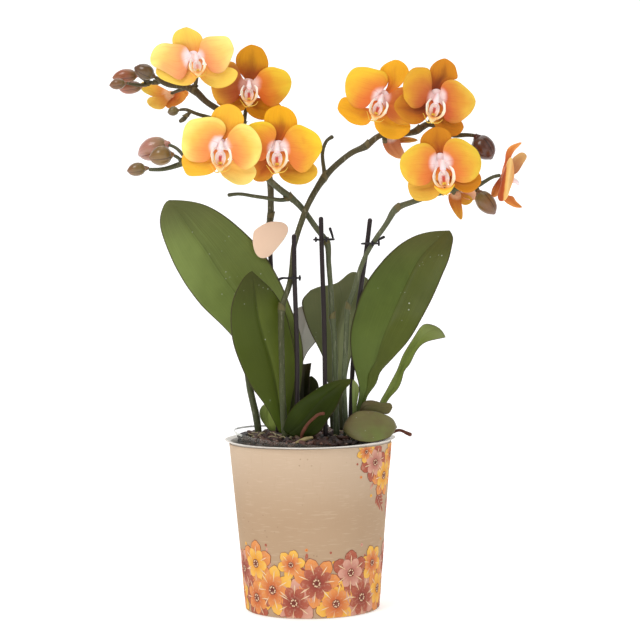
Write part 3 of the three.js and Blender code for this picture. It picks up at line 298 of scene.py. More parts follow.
class Mat:
    def __init__(self, name, rough=0.5, **kw):
        self.mat = bpy.data.materials.new(name)
        self.mat.use_nodes = True
        self.t = self.mat.node_tree
        self.t.nodes.clear()
        self.out = self.t.nodes.new("ShaderNodeOutputMaterial")
        self.b = self.t.nodes.new("ShaderNodeBsdfPrincipled")
        self.t.links.new(self.b.outputs[0], self.out.inputs[0])
        self.b.inputs["Roughness"].default_value = rough
        for k, v in kw.items():
            self.b.inputs[k.replace("_", " ")].default_value = v
        self._uv = None
        self._ob = None

    def put(self, sock, val):
        if isinstance(val, bpy.types.NodeSocket):
            self.t.links.new(val, sock)
        elif val is not None:
            sock.default_value = val

    def node(self, kind, **props):
        n = self.t.nodes.new(kind)
        for k, v in props.items():
            setattr(n, k, v)
        return n

    def uv(self):
        if self._uv is None:
            n = self.node("ShaderNodeUVMap", uv_map="UVMap")
            s = self.node("ShaderNodeSeparateXYZ")
            self.t.links.new(n.outputs[0], s.inputs[0])
            self._uv = (s.outputs[0], s.outputs[1], n.outputs[0])
        return self._uv

    def obj(self):
        if self._ob is None:
            self._ob = self.node("ShaderNodeTexCoord").outputs["Object"]
        return self._ob

    def math(self, op, a, b=None, c=None, clamp=False):
        n = self.node("ShaderNodeMath", operation=op, use_clamp=clamp)
        for s, v in zip(n.inputs, (a, b, c)):
            self.put(s, v)
        return n.outputs[0]

    def mapr(self, x, a, b, c=0.0, d=1.0, smooth=True):
        n = self.node("ShaderNodeMapRange", interpolation_type="SMOOTHSTEP" if smooth else "LINEAR")
        for s, v in zip(n.inputs, (x, a, b, c, d)):
            self.put(s, v)
        return n.outputs[0]

    def mix(self, fac, a, b, blend="MIX"):
        n = self.node("ShaderNodeMix", data_type="RGBA", blend_type=blend, clamp_factor=True)
        self.put(n.inputs[0], fac)
        self.put(n.inputs[6], a)
        self.put(n.inputs[7], b)
        return n.outputs[2]

    def noise(self, scale, detail=3.0, rough=0.5, vec=None, dist=0.0, w=None):
        n = self.node("ShaderNodeTexNoise")
        self.put(n.inputs["Vector"], vec if vec is not None else self.obj())
        n.inputs["Scale"].default_value = scale
        n.inputs["Detail"].default_value = detail
        n.inputs["Roughness"].default_value = rough
        n.inputs["Distortion"].default_value = dist
        return n.outputs[0]

    def voronoi(self, scale, vec=None, feature="F1", rand=1.0):
        n = self.node("ShaderNodeTexVoronoi", feature=feature)
        self.put(n.inputs["Vector"], vec if vec is not None else self.obj())
        n.inputs["Scale"].default_value = scale
        n.inputs["Randomness"].default_value = rand
        return n

    def stretch(self, sx, sy, sz, vec=None, loc=(0, 0, 0)):
        n = self.node("ShaderNodeMapping")
        self.put(n.inputs[0], vec if vec is not None else self.obj())
        n.inputs["Location"].default_value = loc
        n.inputs["Scale"].default_value = (sx, sy, sz)
        return n.outputs[0]

    def ramp(self, fac, stops, interp="LINEAR"):
        n = self.node("ShaderNodeValToRGB")
        cr = n.color_ramp
        cr.interpolation = interp
        while len(cr.elements) > len(stops):
            cr.elements.remove(cr.elements[-1])
        while len(cr.elements) < len(stops):
            cr.elements.new(0.5)
        for e, (p, c) in zip(cr.elements, stops):
            e.position = p
            e.color = c
        self.put(n.inputs[0], fac)
        return n.outputs[0]

    def bump(self, height, strength=0.3, dist=0.0005):
        n = self.node("ShaderNodeBump")
        n.inputs["Strength"].default_value = strength
        n.inputs["Distance"].default_value = dist
        self.put(n.inputs["Height"], height)
        self.t.links.new(n.outputs[0], self.b.inputs["Normal"])

    def color(self, c):
        self.put(self.b.inputs["Base Color"], c)
        return self

    def roughness(self, c):
        self.put(self.b.inputs["Roughness"], c)
        return self


def plain(name, rgb, rough, vary=0.06, scale=60.0, **kw):
    """One colour with a little mottling."""
    m = Mat(name, rough, **kw)
    c = lin(*rgb)
    dark = tuple(x * (1 - 3 * vary) for x in c[:3]) + (1,)
    light = tuple(min(1, x * (1 + 2 * vary)) for x in c[:3]) + (1,)
    m.color(m.mix(m.noise(scale, 4), dark, light))
    return m


def leaf_mat(name, left, right, low, tip, edge=(58, 40, 32), dust=0.5, gloss=0.46, low_at=0.28, tip_at=0.92, swap=0.5, midrib_shade=0.45, blend=0.03, spec=0.20, tinge=None):
    """Waxy leaf: its two halves take different tones, partly painted light and shade where one half faces the light and
    the other is turned away; the foot and the tip have their own tone, and on several leaves the foot is dark as
    painted shade among the crown; fine veins run along it.
    """
    m = Mat(name, gloss, Specular_IOR_Level=spec)
    u, v, uvv = m.uv()  # u along, v across 0..1
    # painted light and shade: the left and right halves get different tones, partly for how each half faces the light
    c = m.mix(m.mapr(v, swap - blend, swap + blend), lin(*left), lin(*right))
    # foot tone: on the leaves with a dark foot, this is painted shade on their lower part
    c = m.mix(m.mapr(u, low_at, 0.02), c, lin(*low))
    c = m.mix(m.mapr(u, tip_at - 0.25, 1.0), c, lin(*tip))
    # cloudy tone
    n1 = m.noise(28, 4, 0.55)
    c = m.mix(m.math("MULTIPLY", m.mapr(n1, 0.35, 0.75), 0.42), c, tuple(x * 0.55 for x in lin(*right)[:3]) + (1,))
    if tinge:
        c = m.mix(m.math("MULTIPLY", m.mapr(m.noise(46, 3.5, 0.6), 0.42, 0.66), tinge[3]), c, lin(*tinge[:3]))
    # fine veins along the blade
    vein = m.noise(1.0, 2, 0.5, vec=m.stretch(3.0, 120.0, 1.0, uvv))
    c = m.mix(m.math("MULTIPLY", m.mapr(vein, 0.45, 0.7), 0.13), c, tuple(min(1, x * 1.6 + 0.01) for x in lin(*left)[:3]) + (1,))
    # painted shade: a darker line along the midrib valley
    mid = m.math("ABSOLUTE", m.math("SUBTRACT", v, 0.5))
    c = m.mix(m.math("MULTIPLY", m.mapr(mid, 0.012, 0.0), midrib_shade), c, tuple(x * 0.45 for x in lin(*right)[:3]) + (1,))
    # margin
    c = m.mix(m.math("MULTIPLY", m.mapr(mid, 0.478, 0.498), 0.75), c, lin(*edge))
    # dried water marks and dust
    vo = m.voronoi(420)
    dot = m.math("MULTIPLY", m.mapr(vo.outputs["Distance"], 0.26, 0.12), m.mapr(m.noise(70, 2), 0.56, 0.66))
    rnd = m.node("ShaderNodeSeparateColor")
    m.t.links.new(vo.outputs["Color"], rnd.inputs[0])
    dot = m.math("MULTIPLY", dot, m.mapr(rnd.outputs[0], 0.72, 0.78))
    c = m.mix(m.math("MULTIPLY", dot, dust), c, lin(200, 205, 185))
    m.color(c)
    m.roughness(m.math("ADD", m.math("MULTIPLY", n1, 0.18), gloss - 0.08))
    m.bump(m.math("ADD", m.math("MULTIPLY", vein, 0.35), m.noise(240, 3)), 0.22, 0.0003)
    return m.mat


def petal_mat(name, rim, body, flush, heart, vein_k=0.16, back=False, flush_to=0.82, heart_to=0.33, rough=0.55, dark=None, lean=0.0):
    """Petal: pale heart, partly the petal's own pale centre and partly a painted highlight, a coral flush, the body
    colour and a brighter rim, with fine veins fanning out.
    The flush reaches further along one margin (lean), a dark streak may lie along the middle, and a thin line of
    painted shade darkens the middle fold."""
    m = Mat(name, rough, Specular_IOR_Level=0.18, Subsurface_Weight=0.05, Subsurface_Scale=0.002)
    m.b.inputs["Subsurface Radius"].default_value = (1.0, 0.5, 0.2)
    u, v, uvv = m.uv()
    w = m.math("ABSOLUTE", m.math("SUBTRACT", v, 0.5))  # 0 middle .. 0.5 edge
    cloud = m.math("MULTIPLY", m.math("SUBTRACT", m.noise(100, 3), 0.5), 0.34)
    reach = m.math("ADD", u, cloud)
    outer = m.math("ADD", reach, m.math("MULTIPLY", w, 0.60))
    patch = m.mapr(m.noise(42, 2.5, 0.6), 0.40, 0.68)
    c = m.mix(m.math("MULTIPLY", patch, 0.30), lin(*body), tuple(x * y for x, y in zip(lin(*body)[:3], (0.90, 0.72, 0.55))) + (1,))
    c = m.mix(m.math("MULTIPLY", m.mapr(m.noise(63, 2.5, 0.6), 0.50, 0.70), 0.35), c, lin(*rim))
    c = m.mix(m.mapr(outer, 0.66, 1.20), c, lin(*rim))
    inner = m.math("SUBTRACT", reach, m.math("MULTIPLY", w, 0.20))
    inner = m.math("SUBTRACT", inner, m.math("MULTIPLY", m.math("SUBTRACT", v, 0.5), lean))
    c = m.mix(m.math("MULTIPLY", m.mapr(inner, flush_to, 0.22), 0.95), c, lin(*flush))
    fan = m.node("ShaderNodeCombineXYZ")
    m.put(fan.inputs[0], m.math("MULTIPLY", u, 1.1))
    m.put(fan.inputs[1], m.math("MULTIPLY", m.math("SUBTRACT", v, 0.5), 34.0))
    veins = m.noise(1.0, 2.5, 0.6, vec=fan.outputs[0], dist=0.5)
    k = m.math("MULTIPLY", m.mapr(veins, 0.48, 0.66), vein_k)
    k = m.math("MULTIPLY", k, m.mapr(u, 1.0, 0.45, 0.25, 1.0))
    c = m.mix(k, c, tuple(x * y for x, y in zip(lin(*flush)[:3], (0.85, 0.45, 0.32))) + (1,))
    if dark:
        streak = m.math("ADD", reach, m.math("MULTIPLY", w, 1.1))
        streak = m.math("ADD", streak, m.math("MULTIPLY", m.math("SUBTRACT", veins, 0.5), 0.7))
        c = m.mix(m.math("MULTIPLY", m.mapr(streak, 0.95, 0.40), dark[3]), c, lin(*dark[:3]))
    # pale heart: partly the petal's own pale centre, partly a painted highlight
    c = m.mix(m.math("MULTIPLY", m.mapr(m.math("ADD", u, m.math("MULTIPLY", cloud, 0.5)), heart_to, heart_to * 0.5), 0.95), c, lin(*heart))
    if back:
        c = m.mix(0.35, c, lin(*flush))
    # painted shade: a darker thin line along the middle fold of the petal
    line = m.math("MULTIPLY", m.mapr(w, 0.016, 0.0), m.mapr(u, 0.85, 0.30))
    c = m.mix(m.math("MULTIPLY", line, 0.30), c, tuple(x * y for x, y in zip(lin(*flush)[:3], (0.80, 0.55, 0.45))) + (1,))
    m.color(c)
    m.bump(m.math("ADD", m.math("MULTIPLY", m.noise(70, 1.5), 5.0), m.math("ADD", veins, m.noise(500, 2))), 0.35, 0.0004)
    return m.mat


# ------------------------------------------------------------------ materials of each slot
def kraft():
    m = Mat("kraft_card", 0.86, Specular_IOR_Level=0.25)
    sep = m.node("ShaderNodeSeparateXYZ")
    m.put(sep.inputs[0], m.obj())
    # painted light: the card is painted darker low down and lighter toward its top
    low, high = m.mix(m.noise(14, 5, 0.6), lin(178, 149, 119), lin(191, 163, 134)), m.mix(m.noise(14, 5, 0.6), lin(199, 174, 148), lin(210, 187, 162))
    base = m.mix(m.mapr(sep.outputs[2], 0.055, 0.102), low, high)
    fib = m.noise(1.0, 3, 0.6, vec=m.stretch(900, 900, 90))
    base = m.mix(m.math("MULTIPLY", m.mapr(fib, 0.55, 0.75), 0.14), base, lin(180, 146, 114))
    fib2 = m.noise(1.0, 2, 0.5, vec=m.stretch(120, 120, 1100))
    base = m.mix(m.math("MULTIPLY", m.mapr(fib2, 0.56, 0.72), 0.14), base, lin(232, 212, 188))
    vo = m.voronoi(260)
    fleck = m.math("MULTIPLY", m.mapr(vo.outputs["Distance"], 0.17, 0.08), m.mapr(m.noise(45, 2), 0.55, 0.62))
    base = m.mix(m.math("MULTIPLY", fleck, 0.4), base, lin(140, 104, 78))
    m.color(base)
    m.bump(m.math("ADD", m.noise(700, 3), m.math("MULTIPLY", fib, 0.8)), 0.16, 0.0002)
    return m.mat


def ink(name, rgb, rgb2):
    """Printed ink on card: the two tones run from the motif's heart (v = 0) to its edge (v = 1)."""
    m = Mat("print_" + name, 0.78, Specular_IOR_Level=0.25)
    u, v, uvv = m.uv()
    c = m.mix(m.mapr(v, 0.05, 0.95), lin(*rgb2), lin(*rgb))
    str_ = m.noise(1.0, 2, 0.5, vec=m.stretch(40.0, 1.5, 1.0, uvv))
    c = m.mix(m.math("MULTIPLY", m.mapr(str_, 0.45, 0.7), 0.3), c, tuple(min(1, x * 1.35) for x in lin(*rgb)[:3]) + (1,))
    c = m.mix(m.math("MULTIPLY", m.mapr(m.noise(600, 2), 0.5, 0.7), 0.25), c, lin(214, 186, 156))
    m.color(c)
    return m.mat


KRAFT = kraft()
WHITE = plain("white_plastic", (226, 220, 211), 0.42, 0.02).mat
CLEAR = Mat("clear_plastic", 0.10, Alpha=0.045, Specular_IOR_Level=0.5)
CLEAR.color(CLEAR.mix(CLEAR.noise(30, 3), lin(206, 212, 202), lin(232, 236, 228)))
CLEAR = CLEAR.mat
# painted reflection: the rim of the clear pot is painted nearly opaque pale grey, standing for the glints on clear
# plastic
CLEAR_RIM_GLINT = Mat("clear_plastic_rim_painted_glint", 0.15, Alpha=0.85, Specular_IOR_Level=0.8)
CLEAR_RIM_GLINT.color(CLEAR_RIM_GLINT.mix(CLEAR_RIM_GLINT.mapr(CLEAR_RIM_GLINT.noise(120, 3), 0.4, 0.6), lin(176, 178, 166), lin(236, 238, 230)))
CLEAR_RIM_GLINT = CLEAR_RIM_GLINT.mat


def bark_mat():
    m = Mat("bark", 0.5, Specular_IOR_Level=0.5)
    u, v, _ = m.uv()
    c = m.ramp(u, [(0.0, lin(30, 18, 16)), (0.3, lin(60, 36, 28)), (0.55, lin(92, 58, 44)), (0.72, lin(40, 22, 22)), (0.88, lin(118, 78, 66)), (1.0, lin(62, 50, 24))])
    lay = m.noise(1.0, 4, 0.6, vec=m.stretch(260, 260, 700))
    c = m.mix(m.math("MULTIPLY", m.mapr(lay, 0.45, 0.7), 0.55), c, lin(38, 20, 18))
    # painted shade: near-black patches stand for the shadowed hollows between the chips
    c = m.mix(m.math("MULTIPLY", m.mapr(m.noise(48, 2.5), 0.48, 0.62), 0.72), c, lin(16, 11, 9))
    c = m.mix(m.math("MULTIPLY", m.mapr(m.noise(380, 4), 0.62, 0.72), 0.6), c, lin(190, 160, 146))
    m.color(c)
    m.bump(m.math("ADD", lay, m.noise(900, 4)), 0.6, 0.0006)
    return m.mat


BARK = bark_mat()


def stem_mat(name, low, high, z0, z1, freckle=(176, 170, 146)):
    m = Mat(name, 0.5, Specular_IOR_Level=0.28)
    sep = m.node("ShaderNodeSeparateXYZ")
    m.put(sep.inputs[0], m.obj())
    c = m.mix(m.mapr(sep.outputs[2], z0 * MM, z1 * MM), lin(*low), lin(*high))
    c = m.mix(m.math("MULTIPLY", m.mapr(m.noise(60, 4), 0.4, 0.7), 0.4), c, tuple(x * 0.55 for x in lin(*low)[:3]) + (1,))
    c = m.mix(m.math("MULTIPLY", m.mapr(m.noise(1.0, 3, 0.6, vec=m.stretch(700, 700, 120)), 0.55, 0.72), 0.3), c, lin(*freckle))
    vo = m.voronoi(900)
    c = m.mix(m.math("MULTIPLY", m.mapr(vo.outputs["Distance"], 0.2, 0.1), 0.25), c, lin(*freckle))
    m.color(c)
    m.bump(m.noise(600, 4), 0.3, 0.0003)
    return m.mat


STEM = stem_mat("stem_green", (80, 90, 60), (90, 90, 64), 110, 300)
STEM_DARK = stem_mat("stem_dark", (72, 78, 46), (82, 70, 44), 110, 330)
BRACT = stem_mat("bract", (98, 94, 56), (104, 90, 58), 110, 330, (150, 138, 104))
STAKE = plain("stake_plastic", (40, 30, 31), 0.40, 0.1, 90, Specular_IOR_Level=0.3).mat
CLIP = plain("clip_plastic", (30, 25, 28), 0.38, 0.08, 200, Specular_IOR_Level=0.3).mat
LABEL = plain("label_card", (255, 217, 188), 0.5, 0.015, 120).mat
ROOT_RED = plain("root_red", (104, 58, 42), 0.6, 0.16, 350, Specular_IOR_Level=0.25).mat
ROOT_TAN = plain("root_tan", (150, 134, 90), 0.62, 0.16, 350).mat
WISP = plain("root_wisp", (178, 166, 128), 0.6, 0.10, 300).mat


# ------------------------------------------------------------------ the front sheet: places [u, v, depth y, ...] as in the solid model
SPIKES = {
    "spike_a": [
      [
        [285.5, 435.5, -20, 2.2], [283, 405, -20, 1.96], [282, 378, -20, 1.88], [281.5, 345, -20, 1.8], [281.3, 315, -19.5, 1.88],
        [281.7, 309, -19.5, 2.29], [283, 303, -19, 1.8], [287, 292, -18, 1.72], [291, 277, -17, 1.72], [294, 247, -15.5, 1.65],
        [300, 226, -14.5, 1.78], [307, 207, -13.5, 1.79], [316, 190, -11, 1.9], [324, 178, -7, 2.3], [331, 170, -6, 1.9], [342, 160, -5, 1.8],
        [355, 151, -4, 1.8], [366, 146, -3, 2.2], [379, 136, -1, 1.8], [395, 134, 0, 1.7], [410, 133, -1, 1.8], [418, 130, -1, 2.2],
        [429, 124, -1, 1.9], [442, 130, -2, 1.7], [453, 135, -2, 1.6], [466, 135, -3, 1.3], [474.3, 135.6, -4, 1.1],
      ],
      [
        [325, 178, -7, 1.5], [323.5, 166, -7, 1.2], [322.5, 154, -7, 1.1], [324.5, 145, -7, 1.1], [328, 139.5, -7, 1], [332, 137, -7, 1.3],
      ],
      [
        [388, 134, -1, 1.4], [384, 118, -4, 1.2], [381, 101, -7.2, 1.1],
      ],
      [
        [383, 135.5, -0.5, 1.4], [385, 140, 1.8, 1.2], [385.6, 142, 3.6, 1],
      ],
      [
        [429, 124.5, -1, 1.4], [433, 112, -8, 1.2], [435.5, 101, -17.2, 1.1],
      ],
    ],
    "spike_b": [
      [
        [336.5, 436, -12, 1.87], [335.5, 400, -12, 1.72], [335, 378, -12, 1.65], [334.5, 345, -12, 1.65], [333.2, 326, -12, 1.65],
        [332, 317, -12, 2.08], [331.5, 309, -12, 1.65], [330, 279, -12, 1.58], [328.5, 257, -12, 1.58], [327, 243, -12, 1.94],
        [321, 234, -11, 1.74], [310, 219, -8.5, 1.72], [300, 206, -8, 1.84], [290, 197, -9.5, 2.12], [276, 186, -12.5, 1.9],
        [266, 177, -15.5, 1.9], [250, 167, -19.5, 1.8], [232, 164, -20, 1.7], [212, 163, -19, 1.7], [196, 163, -17.5, 1.6],
        [183, 163.5, -15.5, 1.8], [172, 167, -15, 1.5], [160, 169.5, -15, 1.2], [150, 169.5, -15, 1.1],
      ],
      [
        [291, 198, -9.5, 1.5], [282, 200, -10.5, 1.3], [270, 198.5, -11.5, 1.2], [253, 196, -13, 1.1], [238, 194, -14, 1],
        [229, 195, -14, 1.2],
      ],
      [
        [266, 177, -15.5, 1.3], [271, 162, -21.5, 1.2], [277, 149, -25.2, 1.1],
      ],
      [
        [222, 164, -20, 1.3], [221, 156, -27, 1.2], [220, 147, -35.2, 1.1],
      ],
      [
        [190, 163, -16.5, 1.2], [183, 155, -15.5, 1.1], [176, 148, -13, 1], [169.5, 145, -10.8, 1],
      ],
      [
        [181, 164, -15.5, 1.2], [179.5, 159, -19.5, 1.1], [174.8, 155.8, -22.2, 1],
      ],
    ],
    "spike_c": [
      [
        [346.5, 435.5, -14, 1.72], [344.5, 400, -14, 1.58], [344, 380, -14, 1.51], [345, 360, -14, 1.51], [346, 338, -14, 1.51],
        [347, 316, -14, 1.51], [348, 308, -14, 1.79], [350.5, 300, -14, 1.44], [354, 290, -14, 1.44], [361, 267, -14, 1.44],
        [367, 253, -14, 1.37], [377, 237, -13, 1.5], [388, 221, -12, 1.66], [396, 209, -11, 2.15], [406, 204, -10, 1.75], [418, 200, -9, 1.7],
        [432, 195, -8, 1.75], [450, 190, -7.5, 1.7], [466, 187, -7, 1.6], [475, 186, -7, 1.7], [484, 182, -7, 1.2], [493, 177, -7, 1.1],
        [499.3, 175.4, -7, 1.1],
      ],
      [
        [442, 192.5, -7.5, 1.4], [442, 181, -14, 1.2], [441.5, 167, -23.2, 1.1],
      ],
      [
        [451, 190, -7.5, 1.3], [454.5, 192, -5.6, 1.1],
      ],
      [
        [475, 186, -7, 1.4], [477, 188.5, -8, 1.2], [478.2, 190.5, -8.6, 1.1],
      ],
    ],
    "spike_d": [
      [
        [258.5, 432, 8, 2.18], [255.5, 413, 8, 2.18], [252, 398, 8, 2.09], [249, 382, 8, 2.09], [246.5, 358, 9, 2.09], [246, 330, 10.5, 2.09],
        [248, 300, 12, 1.99], [254, 270, 12.5, 1.99], [262, 246, 12, 2], [268.5, 228, 10, 2.03], [270.6, 215, 8, 2.06], [270.8, 200, 5, 1.98],
        [270.3, 184, 2, 2], [266, 165, 0, 2], [256, 146, -1, 2], [240, 125, -3, 2], [227, 114.5, -4, 2], [216, 108, -5, 1.9],
        [205, 100.5, -6, 1.9], [193.5, 90, -7, 2.4], [182, 86.3, -8.5, 1.8], [168, 84.5, -9, 1.6], [161, 81.2, -10.5, 1.5],
        [156.2, 77.9, -12, 1.2],
      ],
      [
        [240, 125, -3, 1.4], [228, 122, -3.5, 1.3], [208, 117, -6, 1.2], [193, 112.3, -8, 1.1], [185, 109.5, -8, 1], [180.3, 109.8, -8, 0.9],
      ],
      [
        [190.5, 111.7, -8, 1.1], [187, 115.5, -8, 1.2], [183, 119.5, -8, 1.7], [180.3, 121.2, -8, 1.1],
      ],
      [
        [243, 128, -3, 1.3], [246, 108, -6.5, 1.2], [247.5, 86, -9.2, 1.1],
      ],
      [
        [193.5, 90, -7, 1.5], [196, 82, -12, 1.2], [196.5, 66, -19.2, 1.1],
      ],
      [
        [186, 87.5, -8, 1.2], [180, 90, -3, 1.1], [172, 93, 4.4, 1],
      ],
      [
        [160.5, 81.5, -10.2, 1.3], [151, 82.5, -6, 1.2], [144.5, 79.5, -5, 1.1], [139.6, 76.2, -3.2, 0.9],
      ],
      [
        [151, 82.5, -6, 1.1], [146.5, 85, -2, 1], [143.8, 85.6, 1.9, 0.9],
      ],
      [
        [151, 82.5, -6, 1.1], [140, 85, -11, 1], [127.6, 83.3, -13.8, 0.9],
      ],
    ],
}
